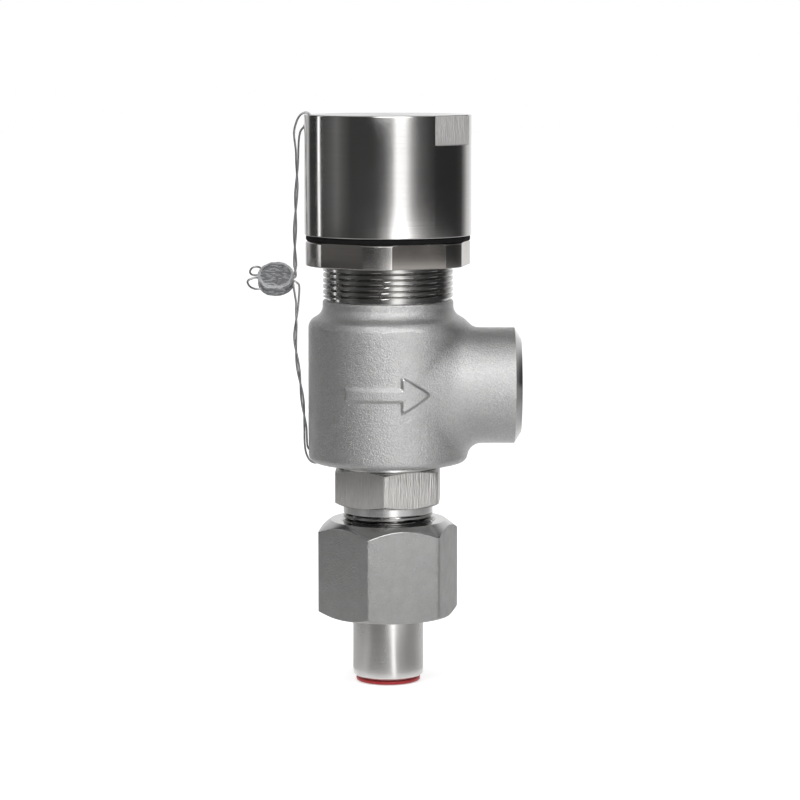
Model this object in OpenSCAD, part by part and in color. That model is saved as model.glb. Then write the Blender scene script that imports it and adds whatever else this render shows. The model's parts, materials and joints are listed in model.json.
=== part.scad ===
// Spring-loaded safety valve: union inlet below, threaded outlet at the side,
// adjusting cap with lock ring on top, wire and lead seal at the left.
// The valve axis is +Z and the outlet points along +X.
// The origin is the centre of the weld end of the inlet stub.

/* [Inlet stub and union] */
// Outside diameter of the weld-on pipe stub
stub_od = 21.3; // [20.6:0.1:21.4]
// Bore of the pipe stub
stub_bore = 16; // [14:0.5:16.5]
// Length of stub that stands out of the union nut
stub_len = 19.4; // [16:0.2:30]
// Height of the weld bevel
bevel_h = 1.1; // [0.6:0.1:1.6]
// Depth of the weld bevel, measured radially
bevel_w = 1.45; // [0.8:0.05:1.6]
// Width across the flats of the union nut
nut_af = 38; // [36:0.5:42]
// Thickness of the inner lip of the union nut
nut_lip = 6.6; // [4:0.2:9]
// Turn of the nut's front corner away from the front
nut_turn = -15.7; // [-30:0.1:30]
// Diameter of the union thread
union_thread_d = 27; // [26.5:0.5:28]
// Pitch of the union thread
union_pitch = 1.5; // [1:0.25:2]
// Space between the collar and the nut's thread, measured radially
collar_gap = 0.9; // [0.6:0.1:1.2]
// Thickness of the collar
collar_t = 5.5; // [4:0.5:8]
// Thickness of the union gasket
gasket_t = 1.5; // [1:0.25:3]
// Bore of the union gasket
gasket_id = 17; // [16.6:0.2:19]
// Flange diameter of the shipping plug
plug_d = 19.4; // [18:0.2:20.4]
// Flange thickness of the shipping plug
plug_t = 1.2; // [0.8:0.1:2]
// Length of the plug's hollow stem
plug_stem = 12; // [8:0.5:16]

/* [Inlet nozzle] */
// Length of the threaded spigot, from gasket face to hexagon
spigot_len = 20.2; // [18:0.1:22]
// Plain collar left between the nut's top and the hexagon
nut_gap = 4.9; // [3.5:0.1:5.5]
// Width across the flats of the nozzle hexagon
hex_af = 31; // [30:0.5:33.5]
// Height of the nozzle hexagon
hex_h = 11.2; // [9:0.2:14]
// Turn of the hexagon's front corner away from the front
hex_turn = -2.8; // [-30:0.1:30]
// Bore of the nozzle at its inlet
nozzle_bore = 15; // [13.5:0.5:16]
// Flow diameter at the seat
throat_d = 12; // [10:0.5:12.5]
// Thread that holds the nozzle in the body
nozzle_thread_d = 24; // [23:0.5:25]
// Outside diameter of the nozzle's nose below the seat
nose_d = 18; // [17:0.5:20]
// Height of the nose above the chamber floor
nose_h = 6; // [5:0.5:7]
// Thickness of the sealing washer under the body
washer_t = 1.5; // [1:0.25:2.5]
// Outside diameter of the sealing washer
washer_d = 31.4; // [29:0.2:32]

/* [Cast body] */
// Diameter of the round body
body_d = 48; // [46:0.5:52]
// Height of the body's straight side, with its lower corner
body_h = 41.3; // [40:0.1:44]
// Radius of the lower outside corner
corner_r = 2; // [1:0.25:2.5]
// Radius where the straight side turns into the shoulder
shoulder_r = 1; // [0.5:0.25:3]
// Slope of the shoulder above level, in degrees
shoulder_slope = 35; // [30:1:45]
// Step from the neck's thread out to the plain neck, measured radially
neck_step = 0.15; // [0.1:0.05:0.9]
// Height of the plain neck above the shoulder
neck_h = 3.6; // [3:0.2:6]
// Radius in the corner between shoulder and neck
neck_fillet = 0.8; // [0.4:0.2:1.4]
// Height of the machined seating boss below the body
foot_h = 1; // [0.6:0.2:2]
// Wall of the flow chamber
body_wall = 6; // [5:0.5:7]
// Thickness of the body's floor
floor_t = 11.1; // [9.5:0.2:13]
// Height of the flow chamber
chamber_h = 22; // [21.5:0.5:24]

/* [Outlet] */
// Outside diameter of the outlet boss
outlet_d = 35; // [34:0.5:36]
// Distance from the valve axis to the outlet face
outlet_reach = 40; // [37:0.5:48]
// Height of the outlet axis above the underside of the body
outlet_rise = 22.1; // [22:0.1:22.6]
// Width of the machined edge on the outlet face, measured radially
outlet_edge_w = 3.2; // [1:0.1:3.2]
// Depth of that machined edge along the outlet
outlet_edge_h = 2; // [0.8:0.1:2.4]
// Minor diameter of the outlet's pipe thread
outlet_thread_d = 24.12; // [23.6:0.02:25]
// Depth of the outlet's thread
outlet_thread_h = 15; // [12:0.5:16]
// Bore that joins the thread to the chamber
outlet_bore = 21; // [18:0.5:21.5]
// Blend between outlet and body at the sides
blend_side = 1.9; // [1.4:0.1:2.6]
// Blend between outlet and body underneath
blend_under = 3.8; // [2.5:0.1:4.2]
// Blend between outlet and shoulder above
blend_top = 3; // [2:0.1:3.6]

/* [Adjusting cap and lock ring] */
// Diameter of the thread on the body's neck
neck_thread_d = 39; // [38:0.1:39]
// Pitch of the neck thread
neck_pitch = 1.7; // [1.25:0.05:2]
// Length of thread left open below the lock ring
thread_show = 10.5; // [8:0.5:16]
// Wall of the lock ring outside the neck thread
ring_wall = 5.3; // [4.5:0.1:5.5]
// Height of the lock ring
ring_h = 7.4; // [6:0.2:10]
// Depth of the flats milled on the lock ring
ring_flat = 1.3; // [0.9:0.1:1.8]
// Turn of the lock ring's front flat away from the front
ring_turn = 21.4; // [-30:0.1:30]
// Thickness of the sealing ring under the cap
seal_t = 1.6; // [1:0.1:3]
// Wall of the sealing ring outside the neck thread
seal_wall = 5.1; // [4:0.1:5.3]
// Wall of the cap outside the neck thread
cap_wall = 5.5; // [5.2:0.1:6.5]
// Height of the cap
cap_h = 35.8; // [34:0.2:42]
// Thickness of the cap's roof
cap_roof = 5; // [4:0.5:6]
// Length of thread that the cap holds
cap_grip = 15.7; // [12:0.1:16.5]
// Depth of the cap's two wrench flats
cap_flat = 1.5; // [1:0.25:2.5]
// Height of the cap's wrench flats
cap_flat_h = 8.7; // [6:0.1:12]
// Turn of the cap's front flat away from the front
cap_turn = 53.5; // [30:0.5:65]
// Bore of the spring chamber
spring_bore = 31; // [30:0.5:31.5]

/* [Disc, stem and spring] */
// Diameter of the disc holder
holder_d = 22; // [20:0.5:24]
// Thickness of the disc holder's flange
holder_t = 4.4; // [3.6:0.2:5]
// Height of the disc holder above its lower face
holder_h = 9.4; // [9:0.1:9.8]
// Diameter of the soft seat
insert_d = 17; // [16:0.5:18]
// Thickness of the soft seat
insert_t = 2.4; // [2:0.1:2.8]
// Thread of the screw that holds the soft seat
screw_d = 4; // [3:0.5:5]
// Diameter of the stem in its guide
stem_d = 10; // [9:0.5:11]
// Diameter of the stem inside the spring
stem_thin_d = 8; // [6:0.5:8]
// Thickness of the guide's flange
guide_t = 3; // [2:0.5:4]
// Diameter of the guide's lower hub
guide_hub_d = 26.9; // [24:0.1:27]
// Thickness of the guide's retaining ring
clip_t = 1.2; // [1:0.1:1.6]
// Thickness of the spring plates
plate_t = 3.5; // [2.5:0.5:4]
// Outside diameter of the spring
spring_od = 27; // [25:0.5:27.5]
// Diameter of the spring wire
spring_wire = 3.6; // [3:0.1:4]
// Turns of the spring, with the two closed ends
spring_turns = 8; // [7:0.5:8.5]
// Diameter of the thrust ball
ball_d = 5; // [4:0.5:5.5]

/* [Wire and seal] */
// Diameter of the sealing wire
wire_d = 0.6; // [0.4:0.1:0.7]
// Diameter of the drilled wire holes
wire_hole_d = 1.5; // [1.2:0.1:1.8]
// Diameter of the lead seal
lead_d = 10.8; // [9:0.2:12]
// Thickness of the lead seal
lead_t = 4; // [3:0.2:5]
// Lean of the lead seal's face, up from facing forward
lead_lean = 47; // [20:1:60]

/* [Hidden] */
$fn = 96;

// Clearance of threads and running fits, measured radially
fit = 0.05;
// Clearance of loose holes, measured radially
loose = 0.3;
// Overlap of a cutting shape past the face it opens
cut = 1;
// Depth of small turned edges
edge = 0.5;
// The front of the valve faces along -Y
front = -90;

// Heights, from the weld end upward
z_nut = stub_len;
z_lip = z_nut + nut_lip;
z_collar = z_lip + collar_t;
z_spigot = z_collar + gasket_t;
z_hex = z_spigot + spigot_len;
z_nut_top = z_hex - nut_gap;
z_washer = z_hex + hex_h;
z_foot = z_washer + washer_t;
z_body = z_foot + foot_h;
z_floor = z_body + floor_t;
z_ceiling = z_floor + chamber_h;
z_outlet = z_body + outlet_rise;
z_shoulder = z_body + body_h;
body_r = body_d / 2;
neck_r = neck_thread_d / 2 + neck_step;
outlet_r = outlet_d / 2;
z_neck = z_shoulder + (body_r - neck_r) * tan(shoulder_slope);
z_thread = z_neck + neck_h;
z_ring = z_thread + thread_show;
z_seal = z_ring + ring_h;
z_cap = z_seal + seal_t;
z_thread_top = z_cap + cap_grip;
z_cap_bore = z_thread_top + 1.5;
z_cap_top = z_cap + cap_h;
z_roof = z_cap_top - cap_roof;

// Diameters that follow the threads
collar_d = union_thread_d - 2 * collar_gap;
ring_d = neck_thread_d + 2 * ring_wall;
ring_af = ring_d - 2 * ring_flat;
seal_d = neck_thread_d + 2 * seal_wall;
cap_d = neck_thread_d + 2 * cap_wall;
cap_af = cap_d - 2 * cap_flat;

// Seat and disc
z_seat = z_floor + nose_h;
seat_inset = 0.6;
z_holder = z_seat + seat_inset;
z_insert_top = z_seat + insert_t;
z_holder_top = z_holder + holder_h;
seat_washer_t = 1;
seat_washer_d = 9;
screw_head_h = 1.6;
screw_head_d = 7;
screw_in_holder = 3.2;
z_socket = z_insert_top + screw_in_holder + 1.4;
stem_tip_d = 6;
lift = 3;

// Guide, spring plates and thrust ball
ledge_t = 3;
z_ledge = z_ceiling + ledge_t;
guide_hub_h = 5;
z_guide_top = z_ledge + guide_t;
z_clip_top = z_guide_top + clip_t;
clip_depth = 1;
z_plate_low = z_clip_top + 2.3;
z_spring = z_plate_low + plate_t;
ball_socket = 1.2;
z_ball = z_roof + ball_socket - fit - ball_d / 2;
z_hub_top = z_ball - ball_d / 2 - fit + ball_socket;
upper_hub_h = 3;
z_plate_top = z_hub_top - upper_hub_h;
z_spring_top = z_plate_top - plate_t;
upper_bore_top = z_hub_top - ball_socket - 1.4;
z_stem_top = upper_bore_top - lift - 1.3;
plate_d = spring_od + 0.6;
spring_r = (spring_od - spring_wire) / 2;
spring_hub_d = spring_od - 2 * spring_wire - 1.3;
spring_hub_h = 5;
hub_edge = 1;

// Wire holes: each is drilled at a slant through an outside corner
hole_inset = 1.8;
hole_drop = 3.8;
body_hole_inset = 3.2;
body_hole_rise = 2.8;
cap_corner = [-cap_d / 2, 0, z_cap_top];
body_corner = [-body_r, 0, z_body];
cap_hole_in = cap_corner + [hole_inset, 0, 0];
cap_hole_out = cap_corner - [0, 0, hole_drop];
body_hole_in = body_corner + [body_hole_inset, 0, 0];
body_hole_out = body_corner + [0, 0, body_hole_rise];

// Points in the plane where the seal's two halves meet, x across and z up the plane
lead_at = [-33.6, 0, 121];
function in_seal(points) = [for (p = points) lead_at + [p.x, p.y * sin(lead_lean), p.y * cos(lead_lean)]];
function from_corner(corner, points) = [for (p = points) corner + [p.x, 0, p.y]];

// Route of the upper wire: a tail loop left of the seal, up one strand, through the cap
// and down the other strand
wire_up = concat(
  in_seal([[-4.2, 1.6], [-6.3, 1.6], [-7.4, 1.9], [-7.9, 3.1], [-7.1, 4.7], [-5.3, 4.9], [-3.4, 3.2],
    [0, 1.4], [3.5, 1.2]]),
  [[-28.3, 0, 122.2], [-28.2, 0, 126]],
  from_corner(cap_corner, [[-3.1, -36], [-2.7, -24], [-2.4, -13], [-2.5, -10], [-3, -5.6],
    [-2.3, -2.1], [-1.2, 0.2], [0.1, 1], [1.4, 0.6], [1.7, -0.4], [0.8, -1.9], [-0.1, -3.7],
    [-1.1, -5.1], [-1.6, -8], [-1.7, -13], [-2, -24], [-2.4, -36]]),
  [[-27.5, 0, 126], [-27.6, 0, 122.4], [-28.2, 0, 121.3], [-30.5, 0, 120.7]]
);
// Route of the lower wire: a tail loop, down one strand, through the body and up the other
wire_down = concat(
  in_seal([[-3.4, -2.8], [-4.9, -4], [-6.4, -3.9], [-7.8, -2.9], [-8.5, -1], [-7.4, 0.1], [-5.4, 0.5],
    [-2, -1.6], [2, -2.2]]),
  [[-28.6, 0, 119.4], [-28.3, 0, 118.4]],
  from_corner(body_corner, [[-4, 47], [-4.2, 37], [-3.7, 29], [-2.5, 21], [-1.4, 12], [-1.2, 8],
    [-1.2, 4.6], [-0.8, 1.6], [0.2, -0.4], [1.6, -1.2], [2.8, -0.9], [3, 0], [2.1, 1], [1, 2.1],
    [-0.3, 3.4], [-0.5, 8], [-0.7, 12], [-1.8, 21], [-3, 29], [-3.5, 37], [-2.9, 47]]),
  [[-26.6, 0, 118.6], [-27.3, 0, 119.9], [-28.3, 0, 120.4], [-30.5, 0, 120.2]]
);

// Basic shapes

module rod(d, z0, z1) {
  translate([0, 0, z0]) cylinder(d = d, h = z1 - z0);
}

module ring(od, id, z0, z1) {
  difference() {
    rod(od, z0, z1);
    rod(id, z0 - cut, z1 + cut);
  }
}

module revolve(profile) {
  rotate_extrude() polygon(profile);
}

// Points of an arc about [x, z], from one angle to another
function arc(x, z, r, from, to, steps = 8) =
  [for (i = [0:steps]) let (a = from + (to - from) * i / steps) [x + r * cos(a), z + r * sin(a)]];

// Hexagon with its corners turned off: under and over are each a start radius and a slope
module hexagon(af, z0, z1, turn, under, over) {
  corner = af / 2 / cos(30);
  wide = corner + cut;
  intersection() {
    rotate([0, 0, front + turn]) translate([0, 0, z0]) cylinder(r = corner, h = z1 - z0, $fn = 6);
    revolve([
      [0, z0], [under[0], z0], [wide, z0 + (wide - under[0]) * under[1]],
      [wide, z1 - (wide - over[0]) * over[1]], [over[0], z1], [0, z1]
    ]);
  }
}

// Outlet blend: a rounded union of body and outlet boss, found along rays

function ease(t) = let (c = min(max(t, 0), 1)) c * c * (3 - 2 * c);

// Both shapes: the outside corner is rounded by r
function both(a, b, r) =
  let (u = max(r + a, 0), v = max(r + b, 0)) min(-r, max(a, b)) + sqrt(u * u + v * v);

// Either shape: the inside corner is filled by r
function either(a, b, r) =
  let (u = max(r - a, 0), v = max(r - b, 0)) max(r, min(a, b)) - sqrt(u * u + v * v);

// Distance from a point to the turned body: its side, underside and shoulder
function from_body(p) =
  let (out = norm([p.x, p.y]) - body_r,
    over = out * sin(shoulder_slope) + (p.z - z_shoulder) * cos(shoulder_slope))
  both(both(out, z_body - p.z, corner_r), over, shoulder_r);

function from_outlet(p) = norm([p.y, p.z - z_outlet]) - outlet_r;

// Past the blend's reach its surface dips under the turned faces
bury = 0.25;
function dip(d, r) = bury * ease((d - 0.85 * r) / (0.35 * r));

function cast_skin(p, r) =
  let (b = from_body(p), o = from_outlet(p)) either(b + dip(o, r), o + dip(b, r), r);

// Size of the blend at an angle round the outlet, 0 at the top
function blend_at(a) =
  let (side = pow(sin(a), 2)) blend_side * side + (cos(a) > 0 ? blend_top : blend_under) * (1 - side);

// Halving search for the skin along a ray
function on_skin(o, dir, r, lo, hi, n = 16) =
  let (mid = (lo + hi) / 2)
  n == 0 ? o + dir * mid
  : cast_skin(o + dir * mid, r) < 0 ? on_skin(o, dir, r, mid, hi, n - 1)
  : on_skin(o, dir, r, lo, mid, n - 1);

blend_core = 4;
blend_search = 16;
blend_rays = [18, 86];
ray_steps = 12;
blend_steps = 72;

// One section: its inner core point, then the points on the blend
function blend_section(a) =
  let (
    out = [0, sin(a), cos(a)],
    corner_x = sqrt(pow(body_r, 2) - pow(outlet_r * sin(a), 2)),
    core = [corner_x - blend_core, 0, z_outlet] + out * (outlet_r - blend_core)
  )
  concat([core], [for (i = [0:ray_steps])
    let (t = blend_rays[0] + (blend_rays[1] - blend_rays[0]) * i / ray_steps)
    on_skin(core, [cos(t), 0, 0] + out * sin(t), blend_at(a), 0, blend_search)]);

// Closed loop of equal sections, joined by triangles
module looped(sections) {
  n = len(sections);
  m = len(sections[0]);
  polyhedron(
    points = [for (s = sections) each s],
    faces = [for (i = [0:n - 1], j = [0:m - 1])
      let (i2 = (i + 1) % n, j2 = (j + 1) % m)
      each [[i * m + j, i2 * m + j2, i * m + j2], [i * m + j, i2 * m + j, i2 * m + j2]]]
  );
}

module outlet_blend() {
  looped([for (i = [0:blend_steps - 1]) blend_section(360 * i / blend_steps)]);
}

// Tube along points, closed at both ends

function unit(v) = v / norm(v);

// A smooth curve through the points, with steps pieces between each two
function curve(p, steps) =
  let (n = len(p))
  [for (i = [0:n - 2], k = [0:(i == n - 2 ? steps : steps - 1)])
    let (
      t = k / steps,
      a = p[max(i - 1, 0)], b = p[i], c = p[i + 1], d = p[min(i + 2, n - 1)]
    )
    (2 * b + (c - a) * t + (2 * a - 5 * b + 4 * c - d) * t * t + (3 * b - a - 3 * c + d) * t * t * t) / 2];

// Tube for a route that nowhere runs along Y
module tube(route, d, sides = 8) {
  n = len(route);
  rings = [for (i = [0:n - 1])
    let (
      along = unit(route[min(i + 1, n - 1)] - route[max(i - 1, 0)]),
      up = unit(cross(along, [0, 1, 0])),
      side = cross(up, along)
    )
    [for (j = [0:sides - 1])
      let (a = 360 * (j + 0.5) / sides) route[i] + d / 2 * (side * cos(a) + up * sin(a))]];
  stacked(rings);
}

// Rings joined into a closed solid with flat ends
module stacked(rings) {
  n = len(rings);
  m = len(rings[0]);
  polyhedron(
    points = [for (r = rings) each r],
    faces = concat(
      [[for (j = [m - 1:-1:0]) j]],
      [for (i = [0:n - 2], j = [0:m - 1])
        let (j2 = (j + 1) % m)
        each [[i * m + j, i * m + j2, (i + 1) * m + j2], [i * m + j, (i + 1) * m + j2, (i + 1) * m + j]]],
      [[for (j = [0:m - 1]) (n - 1) * m + j]]
    )
  );
}

// Inlet

module end_plug() {
  stem_r = stub_bore / 2 - fit;
  wall = 1.3;
  skin = 0.4;
  taper = 2;
  color("firebrick")
  difference() {
    union() {
      revolve(concat(
        [[0, 0]],
        arc(plug_d / 2 - plug_t / 2, -plug_t / 2, plug_t / 2, 90, -90),
        [[0, -plug_t]]
      ));
      revolve([[0, -plug_t / 2], [stem_r, -plug_t / 2], [stem_r, plug_stem - taper],
        [stem_r - edge, plug_stem], [0, plug_stem]]);
    }
    rod(2 * (stem_r - wall), skin, plug_stem + cut);
  }
}

module weld_stub() {
  turned = 0.6;
  r = stub_od / 2;
  step = z_nut - 0.4;
  color("gainsboro")
  difference() {
    revolve([[0, 0], [r - bevel_w, 0], [r, bevel_h], [r, step], [r - turned, step],
      [r - turned, z_lip], [collar_d / 2, z_lip], [collar_d / 2, z_collar - edge],
      [collar_d / 2 - edge, z_collar], [0, z_collar]]);
    rod(stub_bore, -cut, z_collar + cut);
  }
}

module union_nut() {
  top_face = 1.55;
  mouth = 1;
  color("silver")
  difference() {
    hexagon(nut_af, z_nut, z_nut_top, nut_turn, [nut_af / 2, 0.5], [nut_af / 2 - top_face, 0.78]);
    rod(stub_od + 2 * loose, z_nut - cut, z_lip + cut);
    rod(union_thread_d + 2 * fit, z_lip, z_nut_top + cut);
    translate([0, 0, z_nut_top - mouth])
      cylinder(d1 = union_thread_d, d2 = union_thread_d + 4 * mouth, h = 2 * mouth);
  }
}

module union_gasket() {
  color("white") ring(collar_d, gasket_id, z_collar, z_spigot);
}

module inlet_nozzle() {
  thread_r = union_thread_d / 2;
  upper_r = nozzle_thread_d / 2;
  nose_r = nose_d / 2;
  throat_r = throat_d / 2;
  lead_in = 0.8 * union_pitch;
  narrowing = 4;
  throat_len = nose_h + 2;
  z_cone = z_seat - throat_len - narrowing;
  thread_end = 0.6;
  seat_land = 1.2;
  seat_slope = 1.6;
  color("lightgray")
  difference() {
    union() {
      revolve([[0, z_spigot], [thread_r - lead_in, z_spigot], [thread_r, z_spigot + lead_in],
        [thread_r, z_hex + cut], [0, z_hex + cut]]);
      hexagon(hex_af, z_hex, z_washer, hex_turn, [hex_af / 2, 0.45], [hex_af / 2, 0.3]);
      revolve([[0, z_washer - cut], [upper_r, z_washer - cut],
        [upper_r, z_floor - thread_end], [upper_r - thread_end, z_floor], [nose_r, z_floor],
        [nose_r, z_seat - seat_slope], [throat_r + seat_land, z_seat], [0, z_seat]]);
    }
    revolve([[0, z_spigot - cut], [nozzle_bore / 2, z_spigot - cut], [nozzle_bore / 2, z_cone],
      [throat_r, z_cone + narrowing], [throat_r, z_seat + cut], [0, z_seat + cut]]);
  }
}

module nozzle_washer() {
  color("lightgray") ring(washer_d, nozzle_thread_d + 2 * loose, z_washer, z_foot);
}

// Body

module turned_body() {
  thread_r = neck_thread_d / 2;
  foot_r = washer_d / 2 + edge;
  lead_in = 0.6 * neck_pitch;
  turn = 90 - shoulder_slope;
  revolve(concat(
    [[0, z_foot], [foot_r, z_foot], [foot_r, z_body]],
    arc(body_r - corner_r, z_body + corner_r, corner_r, -90, 0),
    arc(body_r - shoulder_r, z_shoulder - shoulder_r * tan(turn / 2), shoulder_r, 0, turn),
    arc(neck_r + neck_fillet, z_neck + neck_fillet * tan(turn / 2), neck_fillet, 180 + turn, 180, 4),
    [[neck_r, z_thread], [thread_r, z_thread], [thread_r, z_thread_top - lead_in],
      [thread_r - lead_in, z_thread_top], [0, z_thread_top]]
  ));
}

module along_outlet() {
  translate([0, 0, z_outlet]) rotate([0, 90, 0]) children();
}

module outlet_boss() {
  along_outlet() revolve([[0, 0], [outlet_r, 0], [outlet_r, outlet_reach - outlet_edge_h],
    [outlet_r - outlet_edge_w, outlet_reach], [0, outlet_reach]]);
}

module outlet_passage() {
  thread_r = outlet_thread_d / 2;
  runout = 1;
  thread_end = outlet_reach - outlet_thread_h - runout;
  mouth = 1.2;
  along_outlet() {
    rod(outlet_bore, 0, outlet_reach);
    revolve([[0, thread_end], [thread_r, thread_end], [thread_r, outlet_reach - mouth],
      [thread_r + 2 * mouth, outlet_reach + mouth], [0, outlet_reach + mouth]]);
  }
}

// Slanted drill hole through two points
module slant_hole(from, to) {
  way = to - from;
  past = 3 * cut;
  translate(from) rotate([0, atan2(way.x, way.z), 0])
    translate([0, 0, -past]) cylinder(d = wire_hole_d, h = norm(way) + 2 * past, $fn = 32);
}

module valve_body() {
  hub_gap = 0.1;
  color("silver")
  difference() {
    union() {
      turned_body();
      outlet_boss();
      outlet_blend();
    }
    rod(nozzle_thread_d + 2 * fit, z_foot - cut, z_floor + cut);
    rod(body_d - 2 * body_wall, z_floor, z_ceiling);
    rod(guide_hub_d + 2 * hub_gap, z_ceiling - cut, z_ledge + cut);
    rod(spring_bore, z_ledge, z_thread_top + cut);
    rod(spring_bore + 2 * clip_depth, z_guide_top, z_clip_top);
    outlet_passage();
    slant_hole(body_hole_in, body_hole_out);
  }
}

// Disc and stem

module soft_seat() {
  color("whitesmoke") ring(insert_d, screw_d + 2 * fit, z_seat, z_insert_top);
}

module disc_holder() {
  hub_wall = 4;
  r = holder_d / 2;
  hub_r = stem_tip_d / 2 + hub_wall;
  color("lightgray")
  difference() {
    revolve([[0, z_holder], [r - edge, z_holder], [r, z_holder + edge], [r, z_holder + holder_t - edge],
      [r - edge, z_holder + holder_t], [hub_r, z_holder + holder_t], [hub_r, z_holder_top - edge],
      [hub_r - edge, z_holder_top], [0, z_holder_top]]);
    rod(insert_d + 2 * fit, z_holder - cut, z_insert_top);
    rod(screw_d + 2 * fit, z_insert_top - cut, z_insert_top + screw_in_holder);
    rod(stem_tip_d + 2 * loose, z_socket, z_holder_top + cut);
  }
}

module seat_washer() {
  color("silver") ring(seat_washer_d, screw_d + 2 * fit, z_seat - seat_washer_t, z_seat);
}

module seat_screw() {
  z_head = z_seat - seat_washer_t;
  slot_w = 1;
  tip_gap = 0.2;
  color("silver")
  difference() {
    union() {
      rod(screw_head_d, z_head - screw_head_h, z_head);
      rod(screw_d, z_head - screw_head_h / 2, z_insert_top + screw_in_holder - tip_gap);
    }
    translate([-screw_head_d, -slot_w / 2, z_head - screw_head_h - cut])
      cube([2 * screw_head_d, slot_w, cut + screw_head_h / 2]);
  }
}

module stem() {
  tip_r = stem_tip_d / 2;
  r = stem_d / 2;
  thin_r = stem_thin_d / 2;
  point = 1;
  color("gainsboro")
  revolve([[0, z_socket], [tip_r - edge, z_socket], [tip_r, z_socket + edge], [tip_r, z_holder_top],
    [r, z_holder_top], [r, z_plate_low], [thin_r, z_plate_low], [thin_r, z_stem_top - point],
    [thin_r - point, z_stem_top], [0, z_stem_top]]);
}

module stem_guide() {
  color("darkgray")
  difference() {
    union() {
      rod(spring_bore - 2 * fit, z_ledge, z_guide_top);
      rod(guide_hub_d, z_ledge - guide_hub_h, z_ledge + cut);
    }
    rod(stem_d + 2 * fit, z_ledge - guide_hub_h - cut, z_guide_top + cut);
  }
}

module guide_clip() {
  od = spring_bore + 2 * clip_depth - 2 * fit;
  inside = 1.7;
  id = spring_bore - 2 * inside;
  gap = 5;
  color("dimgray")
  difference() {
    ring(od, id, z_guide_top, z_clip_top);
    translate([-od, -gap / 2, z_guide_top - cut]) cube([od, gap, clip_t + 2 * cut]);
  }
}

module lower_spring_plate() {
  hub_r = spring_hub_d / 2;
  r = plate_d / 2;
  z_hub = z_spring + spring_hub_h - hub_edge;
  color("gray")
  difference() {
    revolve([[0, z_plate_low], [r - edge, z_plate_low], [r, z_plate_low + edge], [r, z_spring],
      [hub_r, z_spring], [hub_r, z_hub - hub_edge], [hub_r - hub_edge, z_hub], [0, z_hub]]);
    rod(stem_thin_d + 2 * fit, z_plate_low - cut, z_hub + cut);
  }
}

// Space between the closed end coils
coil_gap = 0.1;

// Height of the spring's centre line after u turns: closed ends, open middle
function spring_z(u) =
  let (
    low = z_spring + spring_wire / 4,
    high = z_spring_top - spring_wire / 4,
    closed = spring_wire + coil_gap,
    open = (high - low - 2 * closed) / (spring_turns - 2)
  )
  u < 1 ? low + closed * u
  : u > spring_turns - 1 ? high - closed * (spring_turns - u)
  : low + closed + open * (u - 1);

// Coil with its two ends ground flat
module spring() {
  steps = 20;
  sides = 8;
  color("slategray")
  stacked([for (i = [0:spring_turns * steps])
    let (u = i / steps, out = [cos(360 * u), sin(360 * u), 0])
    [for (j = [0:sides - 1])
      let (
        a = 360 * (j + 0.5) / sides,
        z = spring_z(u) + spring_wire / 2 * sin(a),
        level = min(max(z, z_spring), z_spring_top)
      )
      out * (spring_r - spring_wire / 2 * cos(a)) + [0, 0, level]]]);
}

module upper_spring_plate() {
  hub_r = spring_hub_d / 2;
  top_r = 7;
  r = plate_d / 2;
  bore_d = stem_thin_d + 2 * loose;
  z_hub = z_spring_top - spring_hub_h;
  color("gray")
  difference() {
    revolve([[0, z_hub], [hub_r - hub_edge, z_hub], [hub_r, z_hub + hub_edge], [hub_r, z_spring_top],
      [r, z_spring_top], [r, z_plate_top - edge], [r - edge, z_plate_top], [top_r, z_plate_top],
      [top_r, z_hub_top], [0, z_hub_top]]);
    rod(bore_d, z_hub - cut, upper_bore_top);
    rod(ball_d + 2 * fit, z_hub_top - ball_socket, z_hub_top + cut);
  }
}

module thrust_ball() {
  color("gainsboro") translate([0, 0, z_ball]) sphere(d = ball_d);
}

// Cap, lock ring and sealing ring

// Side cuts that leave flats; each flat faces along its own turn
module flats(count, af, z0, z1, turn) {
  for (i = [0:count - 1])
    rotate([0, 0, front + turn + 360 * i / count])
      translate([af / 2, -cap_d, z0]) cube([cap_d, 2 * cap_d, z1 - z0]);
}

module cap() {
  r = cap_d / 2;
  lip = 0.7;
  inner = spring_bore / 2 - edge;
  color("silver")
  difference() {
    revolve([[0, z_cap], [r - edge, z_cap], [r, z_cap + edge], [r, z_cap_top - edge],
      [r - edge, z_cap_top], [0, z_cap_top]]);
    rod(neck_thread_d + 2 * fit, z_cap - cut, z_cap_bore);
    translate([0, 0, z_cap - lip]) cylinder(d1 = neck_thread_d + 4 * lip, d2 = neck_thread_d, h = 2 * lip);
    rod(2 * inner, z_cap_bore - cut, z_roof);
    rod(ball_d + 4 * fit, z_roof - cut, z_roof + ball_socket);
    flats(2, cap_af, z_cap_top - cap_flat_h, z_cap_top + cut, cap_turn);
    slant_hole(cap_hole_in, cap_hole_out);
  }
}

module lock_ring() {
  r = ring_d / 2;
  top = 2.2;
  lip = 0.7;
  color("silver")
  difference() {
    revolve([[0, z_ring], [r - edge, z_ring], [r, z_ring + edge], [r, z_seal - top * tan(30)],
      [r - top, z_seal], [0, z_seal]]);
    rod(neck_thread_d + 2 * fit, z_ring - cut, z_seal + cut);
    translate([0, 0, z_ring - lip]) cylinder(d1 = neck_thread_d + 4 * lip, d2 = neck_thread_d, h = 2 * lip);
    flats(6, ring_af, z_ring - cut, z_seal + cut, ring_turn);
  }
}

module sealing_ring() {
  color("black") ring(seal_d, neck_thread_d + 2 * loose, z_seal, z_cap);
}

// Wire and seal

module seal_wire_upper() {
  color("dimgray") tube(curve(wire_up, 2), wire_d);
}

module seal_wire_lower() {
  color("dimgray") tube(curve(wire_down, 2), wire_d);
}

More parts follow.
